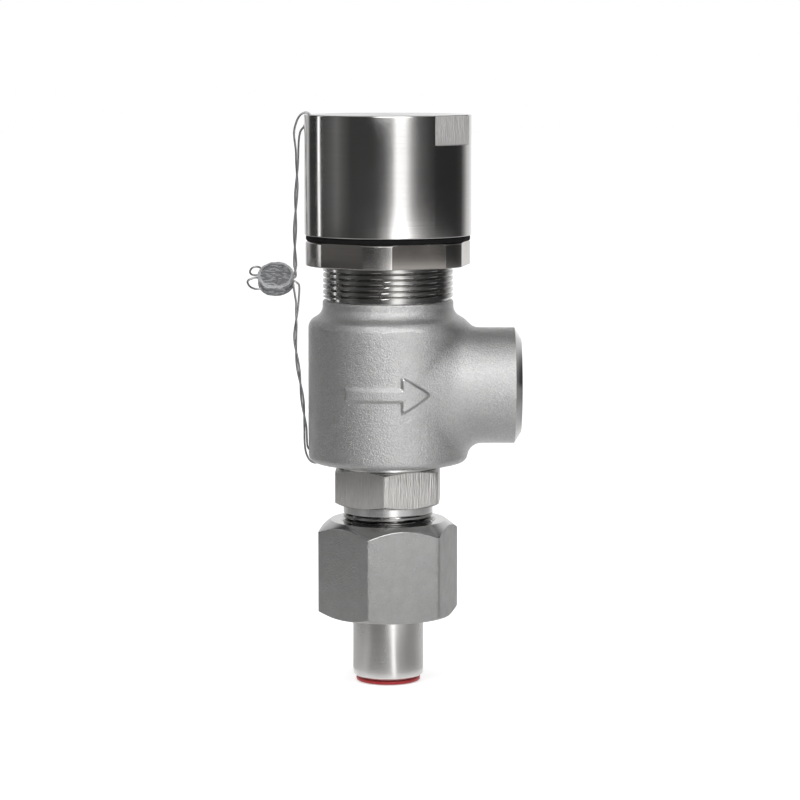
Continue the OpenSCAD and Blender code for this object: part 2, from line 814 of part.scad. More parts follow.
module lead_seal() {
  r = lead_d / 2;
  half = lead_t / 2;
  groove = 0.35;
  rim = 1.3;
  sunk = 0.3;
  round = 0.7;
  color("gray")
  translate(lead_at) rotate([90 - lead_lean, 0, 0])
  difference() {
    revolve(concat(
      [[0, -half]],
      arc(r - round, -half + round, round, -90, 0, 4),
      [[r, -groove], [r - groove, 0], [r, groove]],
      arc(r - round, half - round, round, 0, 90, 4),
      [[0, half]]
    ));
    rod(lead_d - 2 * rim, half - sunk, half + cut);
  }
}

end_plug();
weld_stub();
union_nut();
union_gasket();
inlet_nozzle();
nozzle_washer();
valve_body();
soft_seat();
disc_holder();
seat_washer();
seat_screw();
stem();
stem_guide();
guide_clip();
lower_spring_plate();
spring();
upper_spring_plate();
thrust_ball();
cap();
lock_ring();
sealing_ring();
seal_wire_upper();
seal_wire_lower();
lead_seal();
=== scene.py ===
"""Looks of the safety valve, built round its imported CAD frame.

Shapes are worked out in millimetres in the frame's own axes: the valve axis is +Z and the
outlet points along +X. The meshes are in metres.
"""

import json
import math

import bmesh
import bpy
import numpy as np
from mathutils import Matrix, Vector

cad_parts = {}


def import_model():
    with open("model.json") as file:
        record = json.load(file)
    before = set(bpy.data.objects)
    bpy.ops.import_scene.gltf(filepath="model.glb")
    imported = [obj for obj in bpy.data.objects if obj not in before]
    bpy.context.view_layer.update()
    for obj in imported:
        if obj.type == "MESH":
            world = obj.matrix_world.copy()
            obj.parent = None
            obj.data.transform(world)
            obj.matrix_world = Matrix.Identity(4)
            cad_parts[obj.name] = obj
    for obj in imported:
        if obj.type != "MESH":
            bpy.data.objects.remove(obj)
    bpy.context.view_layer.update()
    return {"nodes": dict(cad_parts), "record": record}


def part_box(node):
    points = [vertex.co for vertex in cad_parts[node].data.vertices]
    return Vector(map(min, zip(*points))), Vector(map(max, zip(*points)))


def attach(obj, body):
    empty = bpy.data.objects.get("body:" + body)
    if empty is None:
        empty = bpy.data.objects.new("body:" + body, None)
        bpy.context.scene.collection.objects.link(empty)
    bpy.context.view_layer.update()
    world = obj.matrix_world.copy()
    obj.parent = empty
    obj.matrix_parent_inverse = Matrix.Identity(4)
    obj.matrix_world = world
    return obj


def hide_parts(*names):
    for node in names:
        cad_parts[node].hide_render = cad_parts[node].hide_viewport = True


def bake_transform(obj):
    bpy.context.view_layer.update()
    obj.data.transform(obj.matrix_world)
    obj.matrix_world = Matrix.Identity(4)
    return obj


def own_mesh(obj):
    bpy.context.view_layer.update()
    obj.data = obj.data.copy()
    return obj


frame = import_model()
MM = 0.001


# Sizes


def span(node):
    """Lowest and highest corner of a CAD node, in millimetres."""
    lo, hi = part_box(node)
    return Vector(lo) / MM, Vector(hi) / MM


mounts = {m["name"]: m for m in frame["record"]["mounts"]}
body_lo, body_hi = span("valve_body")
cap_lo, cap_hi = span("cap")
ring_lo, ring_hi = span("lock_ring")
seal_lo, seal_hi = span("sealing_ring")
nozzle_lo, _ = span("inlet_nozzle")
washer_lo, washer_hi = span("nozzle_washer")
nut_lo, nut_hi = span("union_nut")
plug_lo, plug_hi = span("end_plug")
spring_lo, spring_hi = span("spring")
FRONT = math.radians(-90)

# Cast body
FOOT_H = 1.0
FOOT_R = 16.2
BODY_R = -body_lo.x
Z_BODY = body_lo.z + FOOT_H
Z_BOTTOM = Z_BODY - 0.8
Z_SHOULDER = Z_BODY + 41.5
SHOULDER_SLOPE = math.radians(32)
CORNER_R = 2.0
SHOULDER_R = 1.5
NECK_R = 19.65
NECK_FILLET = 1.6
NECK_EDGE_R = 0.6
NECK_THREAD_R = 19.5
NECK_THREAD_DEPTH = 0.95
NECK_PITCH = 1.7
Z_THREAD = ring_lo.z - 10.5
OUTLET_R = 17.5
OUTLET_REACH = body_hi.x
Z_OUTLET = mounts["outlet_thread"]["pos_m"][2] / MM
OUTLET_THREAD_R = mounts["outlet_thread"]["dims"]["r_mm"]
OUTLET_THREAD_DEPTH = 1.1
OUTLET_THREAD_H = 16
OUTLET_PITCH = 25.4 / 14
OUTLET_BORE_R = 10.5
OUTLET_EDGE_H = 2
BLEND_SIDE, BLEND_UNDER, BLEND_TOP = 4.6, 4.2, 3.4
# The skin lies this far inside the CAD body, so that its unevenness stays in the CAD box
SKIN_IN = 0.04
# Unevenness of the casting: height, length of the waves, seed
UNEVEN = [(0.035, 9, 3), (0.015, 3, 5)]
# Cells of the net over the casting, and how near the skin a face of it lies
NET_STEP = 0.42
NEAR_SKIN = 0.06

# Inside of the body: the radius and height of each corner of its bores, from the foot up
BORES = [(12.05, body_lo.z - 1), (12.05, 78), (18, 78), (18, 100), (13.55, 100), (13.55, 103),
         (15.5, 103), (15.5, 106), (16.5, 106), (16.5, 107.2), (15.5, 107.2), (15.5, body_hi.z + 1)]

# Flow arrow on the body's front
ARROW_Z = 88.4
ARROW_LENGTH = 26.0
ARROW_SHAFT = 3.6
ARROW_HEAD = 10.4
ARROW_HEAD_LENGTH = ARROW_HEAD * 0.85
ARROW_RISE = 0.75
ARROW_RAMP = 1.1
ARROW_TIP_R = 0.7

# Hexagons: width across the flats, and turn of a corner from the front
NUT_AF, NUT_TURN = 38.0, math.radians(-15.7)
HEX_AF, HEX_TURN = 31.0, math.radians(-2.8)
Z_HEX = nut_hi.z + 4.9

# Cap, lock ring and sealing ring, with the bore that clears the neck thread
TURNING_R = 19.55
CAP_FLAT_DEPTH, CAP_FLAT_H = 1.5, 8.7
CAP_FLAT_TURN = FRONT + math.radians(53.5)
LOCK_RING_R = 24.8
# Flats milled on the lock ring, a little unevenly: middle and half width in degrees
RING_FLATS = [(23.2, 20.4), (79.2, 17.6), (141, 18.5), (-160, 18.5), (-100.5, 17.5), (-34.6, 17.6)]

# Sealing wires, the holes drilled for them across two corners, and the lead seal
WIRE_R = 0.3
HOLE_R = 0.75
CAP_HOLE_IN, CAP_HOLE_DOWN = 1.8, 3.8
BODY_HOLE_IN, BODY_HOLE_UP = 3.2, 2.8
CAP_CORNER = Vector((-cap_hi.x, 0, cap_hi.z))
BODY_CORNER = Vector((-BODY_R, 0, Z_BODY))
LEAD_AT = Vector((-33.6, 0, 121))
LEAD_LEAN = math.radians(47)
LEAD_R, LEAD_HALF = 5.55, 2.25


# Mesh tools


def mesh_object(name, verts, faces):
    """Object from points in millimetres."""
    mesh = bpy.data.meshes.new(name)
    mesh.from_pydata((np.asarray(verts, float) * MM).tolist(), [], faces)
    mesh.update()
    obj = bpy.data.objects.new(name, mesh)
    bpy.context.scene.collection.objects.link(obj)
    return obj


def clean(obj, sharp=38):
    """Joins doubled points, turns faces outward and shades smooth up to an angle."""
    bm = bmesh.new()
    bm.from_mesh(obj.data)
    bmesh.ops.remove_doubles(bm, verts=bm.verts, dist=1e-7)
    bmesh.ops.dissolve_degenerate(bm, edges=bm.edges, dist=1e-7)
    bmesh.ops.recalc_face_normals(bm, faces=bm.faces)
    bm.to_mesh(obj.data)
    bm.free()
    obj.data.polygons.foreach_set("use_smooth", [True] * len(obj.data.polygons))
    obj.data.set_sharp_from_angle(angle=math.radians(sharp))
    return obj


def rounded(corners, steps=4):
    """Outline with each corner (r, z, radius) replaced by a small arc."""
    out = []
    n = len(corners)
    for i, (r, z, radius) in enumerate(corners):
        here = Vector((r, z))
        if radius <= 0:
            out.append(here)
            continue
        before = Vector(corners[i - 1][:2]) - here
        after = Vector(corners[(i + 1) % n][:2]) - here
        turn = before.angle(after, math.pi)
        reach = radius / max(math.tan(turn / 2), 1e-3)
        reach = min(reach, before.length * 0.45, after.length * 0.45)
        a = here + before.normalized() * reach
        b = here + after.normalized() * reach
        for k in range(steps + 1):
            t = k / steps
            out.append(a * (1 - t) ** 2 + here * 2 * t * (1 - t) + b * t * t)
    return out


def turned(name, angles, outline, closed=True):
    """Solid from an outline of (r, z) points at each angle. Closed outlines make a ring."""
    rows = [outline(a) for a in angles]
    m = len(rows[0])
    verts = [(r * math.cos(a), r * math.sin(a), z) for a, row in zip(angles, rows) for r, z in row]
    faces = []
    for i in range(len(angles)):
        i2 = (i + 1) % len(angles)
        for j in range(m if closed else m - 1):
            j2 = (j + 1) % m
            faces.append((i * m + j, i2 * m + j, i2 * m + j2, i * m + j2))
    return clean(mesh_object(name, verts, faces))


def circle(count, extra=()):
    """Angles round the axis, with finer steps near some of them."""
    near = [a + math.radians(d) for a in extra for d in (-1.2, -0.6, -0.25, 0, 0.25, 0.6, 1.2)]
    angles = [2 * math.pi * i / count for i in range(count)] + [a % (2 * math.pi) for a in near]
    kept = []
    for a in sorted(angles):
        if not kept or a - kept[-1] > 2e-4:
            kept.append(a)
    return kept


def lathe(name, corners, count=160, steps=4):
    """Round solid from corners (r, z, radius)."""
    outline = rounded(corners, steps)
    return turned(name, circle(count), lambda a: outline)


def carve(piece, tool, how="DIFFERENCE"):
    """Boolean of piece with tool, applied to the mesh. The tool is used up."""
    mod = piece.modifiers.new("carve", "BOOLEAN")
    mod.operation = how
    mod.object = tool
    mod.solver = "MANIFOLD"
    graph = bpy.context.evaluated_depsgraph_get()
    mesh = bpy.data.meshes.new_from_object(piece.evaluated_get(graph))
    piece.modifiers.clear()
    piece.data = mesh
    bpy.data.objects.remove(tool)


def thread_r(r, pitch, depth, z, angle, inner=False):
    """Radius of a right-hand thread at a height and an angle: flat crests, rounded roots."""
    crest, root, rounding = 0.55, 0.94, 0.35
    phase = (z / pitch - angle / (2 * math.pi)) % 1
    wave = abs(2 * phase - 1)
    cut = min(max((wave - crest) / (root - crest), 0), 1)
    cut = cut * cut * (3 - 2 * cut) * rounding + cut * (1 - rounding)
    return r + depth * cut if inner else r - depth * cut


def spaced(start, end, count):
    """Values from start to end, in so many equal steps."""
    return [start + (end - start) * i / count for i in range(count + 1)]


def rod(name, start, end, radius, sides=48):
    """Plain round bar between two points."""
    start, end = Vector(start), Vector(end)
    axis = end - start
    turn = axis.to_track_quat("Z", "Y").to_matrix()
    ring = [Vector((radius * math.cos(a), radius * math.sin(a), 0))
            for a in [2 * math.pi * i / sides for i in range(sides)]]
    verts = [start + turn @ p for p in ring] + [end + turn @ p for p in ring]
    faces = [(i, (i + 1) % sides, sides + (i + 1) % sides, sides + i) for i in range(sides)]
    faces += [tuple(range(sides))[::-1], tuple(range(sides, 2 * sides))]
    return clean(mesh_object(name, verts, faces))


def drill(piece, start, end):
    """Drills a hole for a sealing wire, from before start to past end."""
    past = (end - start).normalized() * 3
    carve(piece, rod("hole", start - past, end + past, HOLE_R, 24))


def curve_points(points, steps):
    """Smooth curve through points (Catmull-Rom)."""
    p = [Vector(q) for q in points]
    out = []
    for i in range(len(p) - 1):
        a, b, c, d = p[max(i - 1, 0)], p[i], p[i + 1], p[min(i + 2, len(p) - 1)]
        for k in range(steps):
            t = k / steps
            out.append((2 * b + (c - a) * t + (2 * a - 5 * b + 4 * c - d) * t * t
                        + (3 * b - a - 3 * c + d) * t ** 3) / 2)
    return out + [p[-1]]


def wire(name, points, radius, sides=10):
    """Round wire along points, with domed ends."""
    n = len(points)
    along = [(points[min(i + 1, n - 1)] - points[max(i - 1, 0)]).normalized() for i in range(n)]
    side = along[0].orthogonal().normalized()
    verts, faces = [], []
    for i in range(n):
        side = (side - along[i] * side.dot(along[i])).normalized()
        up = along[i].cross(side)
        for j in range(sides):
            a = 2 * math.pi * j / sides
            verts.append(points[i] + (side * math.cos(a) + up * math.sin(a)) * radius)
    for i in range(n - 1):
        for j in range(sides):
            j2 = (j + 1) % sides
            faces.append((i * sides + j, i * sides + j2, (i + 1) * sides + j2, (i + 1) * sides + j))
    for ring, way in ((0, -1), (n - 1, 1)):
        tip = len(verts)
        verts.append(points[ring] + along[ring] * radius * 0.5 * way)
        for j in range(sides):
            faces.append((ring * sides + j, ring * sides + (j + 1) % sides, tip))
    return clean(mesh_object(name, verts, faces), 60)


# Materials


class Paint:
    """A material and its nodes."""

    def __init__(self, name, color, roughness, metallic=1.0, specular=0.5):
        self.material = bpy.data.materials.new(name)
        self.material.use_nodes = True
        self.tree = self.material.node_tree
        self.shader = self.tree.nodes["Principled BSDF"]
        self.color = (*color, 1)
        self.shader.inputs["Base Color"].default_value = self.color
        self.shader.inputs["Roughness"].default_value = roughness
        self.shader.inputs["Metallic"].default_value = metallic
        self.shader.inputs["Specular IOR Level"].default_value = specular
        self.height = None

    def node(self, kind, values=None, **settings):
        """New node with its settings made and its sockets filled."""
        node = self.tree.nodes.new(kind)
        for key, value in settings.items():
            setattr(node, key, value)
        for key, value in (values or {}).items():
            self.fill(node.inputs[key], value)
        return node

    def fill(self, socket, value):
        """Links a socket to another one, or sets it to a value."""
        if isinstance(value, bpy.types.NodeSocket):
            self.tree.links.new(value, socket)
        else:
            socket.default_value = value

    def noise(self, waves, detail=3.0, rough=0.55, spread=(0.3, 0.7)):
        """Noise from 0 to 1, with so many waves per millimetre, which may be set per axis."""
        per_axis = (waves,) * 3 if isinstance(waves, float) else waves
        where = self.node("ShaderNodeTexCoord").outputs["Object"]
        place = self.node("ShaderNodeMapping", {"Vector": where, "Scale": [w / MM for w in per_axis],
                                                "Rotation": (0.5, 0.8, 0.3)})
        noise = self.node("ShaderNodeTexNoise", {"Vector": place.outputs[0], "Scale": 1.0,
                                                 "Detail": detail, "Roughness": rough})
        return self.ramp(noise.outputs["Fac"], *spread, 0, 1)

    def ramp(self, value, from_lo, from_hi, to_lo, to_hi):
        """Value moved and stretched from one range to another, and held within it."""
        values = {"Value": value, "From Min": from_lo, "From Max": from_hi, "To Min": to_lo,
                  "To Max": to_hi}
        return self.node("ShaderNodeMapRange", values).outputs["Result"]

    def tint(self, factor, start, amount, color):
        """Mixes another colour in by up to an amount, from where factor passes start."""
        share = self.ramp(factor, start, 1, 0, amount)
        mix = self.node("ShaderNodeMix", {"Factor": share}, data_type="RGBA")
        for key, value in (("A", self.color), ("B", (*color, 1))):
            self.fill(next(s for s in mix.inputs if s.name == key and s.type == "RGBA"), value)
        self.color = next(s for s in mix.outputs if s.type == "RGBA")
        self.tree.links.new(self.color, self.shader.inputs["Base Color"])

    def gloss(self, factor, lo, hi):
        """Roughness from lo to hi as factor goes from 0 to 1."""
        self.tree.links.new(self.ramp(factor, 0, 1, lo, hi), self.shader.inputs["Roughness"])
        return self

    def bump(self, height, depth):
        """Adds relief of a depth in millimetres."""
        values = {"Height": height, "Distance": depth * MM, "Strength": 1.0}
        if self.height is not None:
            values["Normal"] = self.height
        self.height = self.node("ShaderNodeBump", values).outputs["Normal"]
        self.tree.links.new(self.height, self.shader.inputs["Normal"])

    def turned(self, amount, axis="Z"):
        """Gloss drawn out along the axis, as fine turning marks do."""
        tangent = self.node("ShaderNodeTangent", direction_type="RADIAL", axis=axis)
        self.tree.links.new(tangent.outputs[0], self.shader.inputs["Tangent"])
        self.shader.inputs["Anisotropic"].default_value = amount
        self.shader.inputs["Anisotropic Rotation"].default_value = 0.25
        return self


def turned_steel(name, color, roughness, fine=4.0, axis="Z", amount=0.6, metallic=1.0):
    """Turned stainless steel: fine rings round the axis and faint smudges."""
    lines = [0.06, 0.06, 0.06]
    lines["XYZ".index(axis)] = fine
    paint = Paint(name, color, roughness, metallic)
    rings = paint.noise(lines, 4, 0.6)
    paint.bump(rings, 0.0015)
    smudge = paint.noise((0.08, 0.08, 0.05), 3)
    paint.gloss(smudge, roughness * 0.8, roughness * 1.3)
    paint.tint(rings, 0, 0.35, [c * 0.78 for c in color])
    return paint.turned(amount, axis).material


def cast_steel():
    """Bead-blasted stainless casting: fine grain over a mottled satin grey."""
    paint = Paint("cast_steel", (0.64, 0.635, 0.63), 0.35)
    grain = paint.noise(1.9, 4, 0.7)
    dents = paint.noise(0.55, 3, 0.5)
    paint.bump(dents, 0.03)
    paint.bump(grain, 0.11)
    paint.tint(dents, 0, 0.5, (0.55, 0.55, 0.555))
    paint.tint(grain, 0.2, 0.6, (0.82, 0.82, 0.81))
    specks = paint.noise(2.3, 2, 0.5, (0.42, 0.62))
    paint.tint(specks, 0, 0.4, (0.46, 0.46, 0.465))
    return paint.gloss(grain, 0.30, 0.40).material


def satin_steel(name, color, roughness):
    """Tumbled steel: even satin with small scratches and pits."""
    paint = Paint(name, color, roughness)
    cloud = paint.noise(0.35, 4, 0.6)
    specks = paint.noise((2.2, 2.2, 2.0), 3, 0.65, (0.35, 0.65))
    paint.bump(specks, 0.1)
    paint.tint(specks, 0.3, 0.35, [c * 1.15 for c in color])
    paint.tint(cloud, 0, 0.4, [c * 0.84 for c in color])
    return paint.gloss(cloud, roughness * 0.85, roughness * 1.2).material


def milled_steel(name, color, roughness, depth=0.02, metallic=0.9):
    """Milled flat with upright cutter marks."""
    paint = Paint(name, color, roughness, metallic)
    streaks = paint.noise((2.4, 2.4, 0.22), 3, 0.6)
    blotch = paint.noise((0.3, 0.3, 0.2), 3)
    paint.bump(streaks, depth)
    paint.tint(streaks, 0, 0.5, [c * 0.72 for c in color])
    paint.tint(blotch, 0.3, 0.4, [c * 1.12 for c in color])
    return paint.gloss(streaks, roughness * 0.8, roughness * 1.25).material


def plain_steel(name, color, roughness):
    """Small steel parts inside, lightly marked."""
    paint = Paint(name, color, roughness)
    cloud = paint.noise(0.5, 3)
    paint.bump(paint.noise((0.3, 0.3, 3.0), 3), 0.003)
    paint.tint(cloud, 0, 0.4, [c * 0.8 for c in color])
    return paint.gloss(cloud, roughness * 0.8, roughness * 1.2).material


def pressed_lead(name, color, bright):
    """Dull lead with bumped, glossier creases, which are also painted lighter as painted highlights.
    """
    paint = Paint(name, color, 0.4, 0.6)
    crease = paint.noise((0.45, 1.7, 1.7), 4, 0.65, (0.38, 0.6))
    fine = paint.noise(3.0, 3)
    paint.bump(crease, 0.22)
    paint.bump(fine, 0.04)
    # Painted highlight: the creases are tinted towards the glint colour
    paint.tint(crease, 0.45, 0.9, bright)
    paint.tint(fine, 0.5, 0.5, (0.12, 0.12, 0.13))
    return paint.gloss(crease, 0.5, 0.28).material


def plastic(name, color, roughness, grain=0.006, specular=0.5):
    """Moulded plastic or rubber: faint grain and a little cloud in its colour."""
    paint = Paint(name, color, roughness, 0.0, specular)
    cloud = paint.noise(0.4, 3)
    paint.bump(paint.noise(2.0, 2), grain)
    paint.tint(cloud, 0, 0.35, [c * 0.75 for c in color])
    return paint.gloss(cloud, roughness * 0.85, roughness * 1.15).material


MATERIALS = {
    "cast_steel": cast_steel(),
    "cap_steel": turned_steel("cap_steel", (0.62, 0.61, 0.60), 0.15, fine=3.0, amount=0.55),
    "ring_steel": turned_steel("ring_steel", (0.56, 0.545, 0.53), 0.22, fine=3.0),
    "nut_steel": satin_steel("nut_steel", (0.50, 0.50, 0.495), 0.4),
    "hex_steel": milled_steel("hex_steel", (0.70, 0.685, 0.665), 0.36, 0.09),
    "turned_steel": turned_steel("turned_steel", (0.66, 0.65, 0.64), 0.24, fine=5.0),
    "washer_steel": turned_steel("washer_steel", (0.74, 0.74, 0.73), 0.25),
    "spring_steel": plain_steel("spring_steel", (0.22, 0.22, 0.23), 0.35),
    "wire_steel": plain_steel("wire_steel", (0.42, 0.42, 0.43), 0.35),
    "lead": pressed_lead("pressed_lead", (0.24, 0.245, 0.255), (0.62, 0.625, 0.64)),
    "ptfe": plastic("ptfe", (0.86, 0.86, 0.84), 0.45),
    "black_rubber": plastic("black_rubber", (0.006, 0.006, 0.006), 0.75, 0.02, 0.15),
    "red_plastic": plastic("red_plastic", (0.36, 0.014, 0.017), 0.38),
}

# Finishes of single faces, and a darker copy of thread steel that is painted shade
MILLED_FLAT = milled_steel("milled_flat", (0.66, 0.65, 0.64), 0.45, 0.3, 0.75)
RING_FLAT = turned_steel("ring_flat", (0.46, 0.43, 0.405), 0.2, fine=2.0, amount=0.2)
# Seal rim: lighter worn lead, with its creases painted lighter still as painted highlights
WORN_LEAD_WITH_GLINTS = pressed_lead("worn_lead", (0.62, 0.625, 0.64), (0.85, 0.855, 0.87))
THREAD_STEEL = turned_steel("thread_steel", (0.52, 0.515, 0.505), 0.18, fine=2.0, amount=0.2)
# Spigot thread: turned steel painted darker, as painted shade of the gap above the union nut
PAINTED_SHADE_THREAD = turned_steel("dark_thread", (0.30, 0.295, 0.29), 0.14, fine=2.0, amount=0.2)
FACED_STEEL = turned_steel("faced_steel", (0.55, 0.55, 0.545), 0.13, axis="X", amount=0.3)
COLLAR_STEEL = turned_steel("collar_steel", (0.60, 0.595, 0.59), 0.13, amount=0.3, metallic=0.88)
CHAMFER_STEEL = turned_steel("chamfer_steel", (0.50, 0.50, 0.495), 0.17, amount=0.3)
BORE_STEEL = turned_steel("bore_steel", (0.42, 0.42, 0.415), 0.3, fine=2.0, axis="X", amount=0.3)


def dress(piece, slot, body, *nodes):
    """Gives a piece its finish, its body and the CAD nodes that it stands for."""
    piece.data.materials.clear()
    piece.data.materials.append(MATERIALS[slot])
    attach(piece, body)
    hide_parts(*nodes)


def off_axis(p):
    """Distance from the valve's axis."""
    return math.hypot(p.x, p.y)


def paint_faces(piece, material, test):
    """Gives the faces for which test(centre, normal) is true another material."""
    piece.data.materials.append(material)
    index = len(piece.data.materials) - 1
    for face in piece.data.polygons:
        if test(Vector(face.center) / MM, Vector(face.normal)):
            face.material_index = index


# Cast body


def both(a, b, r):
    """Where both shapes are: the outside corner is rounded by r."""
    return np.minimum(-r, np.maximum(a, b)) + np.hypot(np.maximum(r + a, 0), np.maximum(r + b, 0))


def either(a, b, r):
    """Where either shape is: the inside corner is filled by r."""
    return np.maximum(r, np.minimum(a, b)) - np.hypot(np.maximum(r - a, 0), np.maximum(r - b, 0))


def waviness(p, size, seed):
    """Gentle unevenness of a casting, between about -1 and 1."""
    rng = np.random.default_rng(seed)
    waves = 9
    total = 0
    for _ in range(waves):
        way = rng.normal(size=3)
        way *= 2 * math.pi / (size * rng.uniform(0.7, 1.5) * np.linalg.norm(way))
        total = total + np.sin(p @ way + rng.uniform(0, 6.28))
    return total / 4


def arrow(s, z):
    """Distance to a flow arrow that points to the outlet, along the body's front."""
    tip = ARROW_LENGTH / 2
    neck = tip - ARROW_HEAD_LENGTH
    shaft = np.maximum(np.abs(z) - ARROW_SHAFT / 2, np.maximum(-tip - s, s - neck - 1))
    slope = ARROW_HEAD / 2 / (tip - neck)
    flank = (np.hypot(z, ARROW_TIP_R) - 0.3 - (tip - s) * slope) / math.hypot(1, slope)
    head = both(flank, neck - s, 0.5)
    return np.minimum(shaft, head)


def cast_field(p):
    """Distance to the cast skin, below zero inside."""
    x, y, z = p[..., 0], p[..., 1], p[..., 2]
    radius = np.hypot(x, y)
    out = radius - BODY_R + SKIN_IN
    slope = out * math.sin(SHOULDER_SLOPE) + (z - Z_SHOULDER) * math.cos(SHOULDER_SLOPE)
    body = both(both(out, Z_BOTTOM - z, CORNER_R), slope, SHOULDER_R)
    body = either(body, radius - NECK_R, NECK_FILLET)
    body = np.maximum(both(body, z - Z_THREAD, NECK_EDGE_R), Z_BOTTOM - z)
    across = np.hypot(y, z - Z_OUTLET)
    outlet = np.maximum(across - OUTLET_R + SKIN_IN, -x)
    top = (z - Z_OUTLET) / np.maximum(across, 1e-6)
    blend = BLEND_SIDE * (1 - top ** 2) + np.where(top > 0, BLEND_TOP, BLEND_UNDER) * top ** 2
    skin = either(body, outlet, blend)
    s = BODY_R * np.arctan2(x, -y)
    edge = np.clip(0.5 - arrow(s, z - ARROW_Z) / ARROW_RAMP, 0, 1)
    rise = ARROW_RISE * edge * edge * (3 - 2 * edge) * (y < 0)
    return skin - rise + sum(height * waviness(p, size, seed) for height, size, seed in UNEVEN)


def gradient(field, p, h=0.02):
    """Slope of the field at points."""
    steps = np.eye(3) * h
    return np.stack([field(p + d) - field(p - d) for d in steps], -1) / (2 * h)


def cells_round(at, others, i, j):
    """Cells beside grid edges: those i and j steps back along the two axes across the edge."""
    cell = at.copy()
    cell[:, others[0]] -= i
    cell[:, others[1]] -= j
    return tuple(cell.T)


def net(name, field, lo, hi, step):
    """Closed surface where the field is zero, with one point in each cell that it crosses."""
    axes = [np.arange(a, b + step, step) for a, b in zip(lo, hi)]
    grid = np.stack(np.meshgrid(*axes, indexing="ij"), -1)
    f = np.concatenate([field(slab)[None] for slab in grid])
    inside = f < 0
    cells = tuple(n - 1 for n in f.shape)
    total, hits = np.zeros(cells + (3,)), np.zeros(cells)
    edges = []
    # Each grid edge that the surface crosses counts for the four cells round it
    for axis in range(3):
        first = [slice(None)] * 3
        second = [slice(None)] * 3
        first[axis], second[axis] = slice(None, -1), slice(1, None)
        f0, f1 = f[tuple(first)], f[tuple(second)]
        crossed = inside[tuple(first)] != inside[tuple(second)]
        at = np.argwhere(crossed)
        t = f0[crossed] / (f0[crossed] - f1[crossed])
        point = grid[tuple(at.T)]
        point[:, axis] += t * step
        others = [a for a in range(3) if a != axis]
        for i in (0, 1):
            for j in (0, 1):
                cell = cells_round(at, others, i, j)
                np.add.at(total, cell, point)
                np.add.at(hits, cell, 1)
        edges.append((at, others))
    used = hits > 0
    index = np.full(cells, -1)
    index[used] = np.arange(used.sum())
    points = total[used] / hits[used][:, None]
    # The four points round a crossed edge make a face
    quads = []
    for at, others in edges:
        ring = [index[cells_round(at, others, i, j)] for i, j in ((0, 0), (1, 0), (1, 1), (0, 1))]
        quads.append(np.stack(ring, -1))
    # The points are drawn onto the surface, most of the way each time
    for _ in range(4):
        slope = gradient(field, points)
        points -= slope * (field(points) / np.maximum((slope ** 2).sum(-1), 1e-6))[:, None] * 0.9
    return clean(mesh_object(name, points, np.concatenate(quads).tolist()), 60)


def neck_thread():
    """Threaded neck as a solid bar, with its thread run out at the bottom."""
    z0, z1 = Z_THREAD - 2, body_hi.z
    heights = spaced(z0, z1, int((z1 - z0) / NECK_PITCH * 13))
    groove_h, groove_depth, chamfer = 0.95, 1.1, 1.0

    def outline(angle):
        row = [(0, z0)]
        for z in heights:
            r = thread_r(NECK_THREAD_R, NECK_PITCH, NECK_THREAD_DEPTH, z, angle)
            if z < Z_THREAD + groove_h:
                r = NECK_THREAD_R - groove_depth
            row.append((min(r, NECK_THREAD_R - chamfer + (z1 - z)), z))
        return row + [(0, z1)]

    return turned("thread", circle(144), outline, closed=False)


def along_x(obj):
    """Turns a solid made round Z so that its axis is the outlet's."""
    lift = Matrix.Translation((0, 0, Z_OUTLET * MM))
    obj.data.transform(lift @ Matrix.Rotation(math.pi / 2, 4, "Y"))
    return obj


def outlet_cutter():
    """Bore, thread and mouth of the outlet."""
    thread_end = OUTLET_REACH - OUTLET_THREAD_H
    mouth, end = OUTLET_REACH - 1.2, OUTLET_REACH + 3
    run_out, flare = 2, 1.3
    reaches = spaced(thread_end, mouth, int(OUTLET_THREAD_H / OUTLET_PITCH * 11))

    def outline(angle):
        row = [(0, 1), (OUTLET_BORE_R, 1), (OUTLET_BORE_R, thread_end)]
        for x in reaches:
            depth = OUTLET_THREAD_DEPTH * min(max((x - thread_end) / run_out, 0), 1)
            row.append((thread_r(OUTLET_THREAD_R, OUTLET_PITCH, depth, x, angle, True), x))
        wide = OUTLET_THREAD_R + flare
        return row + [(wide, OUTLET_REACH), (OUTLET_THREAD_R + 1.5, end), (0, end)]

    return along_x(turned("outlet_cutter", circle(120), outline, closed=False))


def outlet_trim():
    """Solid outside the machined face and edge of the outlet."""
    r, face = OUTLET_R, OUTLET_REACH
    edge, fall, far = r - 3.2, face - OUTLET_EDGE_H, face + 8
    corners = [(5, face, 0), (edge - 0.1, face, 0), (edge + 0.12, face - 0.15, 0), (r - 0.1, fall, 0),
               (r + 0.5, fall - 0.2, 0), (r + 3, fall - 0.3, 0), (r + 3, far, 0), (5, far, 0)]
    return along_x(lathe("outlet_trim", corners, 144))


def valve_body():
    """The casting, with everything that is machined on it."""
    margin = 2
    lo = (-BODY_R - margin, -BODY_R - margin, Z_BODY - margin)
    hi = (OUTLET_REACH + 2 * margin, BODY_R + margin, Z_THREAD + margin)

    def closed_field(p):
        return np.maximum(cast_field(p), p[..., 0] - OUTLET_REACH - margin)

    body = net("body_casting", closed_field, lo, hi, NET_STEP)
    carve(body, neck_thread(), "UNION")
    z0, z1 = body_lo.z, Z_BODY + margin
    foot = [(0, z0), (FOOT_R, z0), (FOOT_R, z1), (0, z1)]
    carve(body, turned("foot", circle(144), lambda a: foot, closed=False), "UNION")
    carve(body, outlet_trim())
    bores = [(0, BORES[0][1])] + BORES + [(0, BORES[-1][1])]
    carve(body, turned("bores", circle(120), lambda a: bores, closed=False))
    carve(body, outlet_cutter())
    inner, outer = Vector((BODY_HOLE_IN, 0, 0)), Vector((0, 0, BODY_HOLE_UP))
    drill(body, BODY_CORNER + inner, BODY_CORNER + outer)
    clean(body, 36)
    dress(body, "cast_steel", "valve", "valve_body")
    smooth_skin(body, paint_body(body))


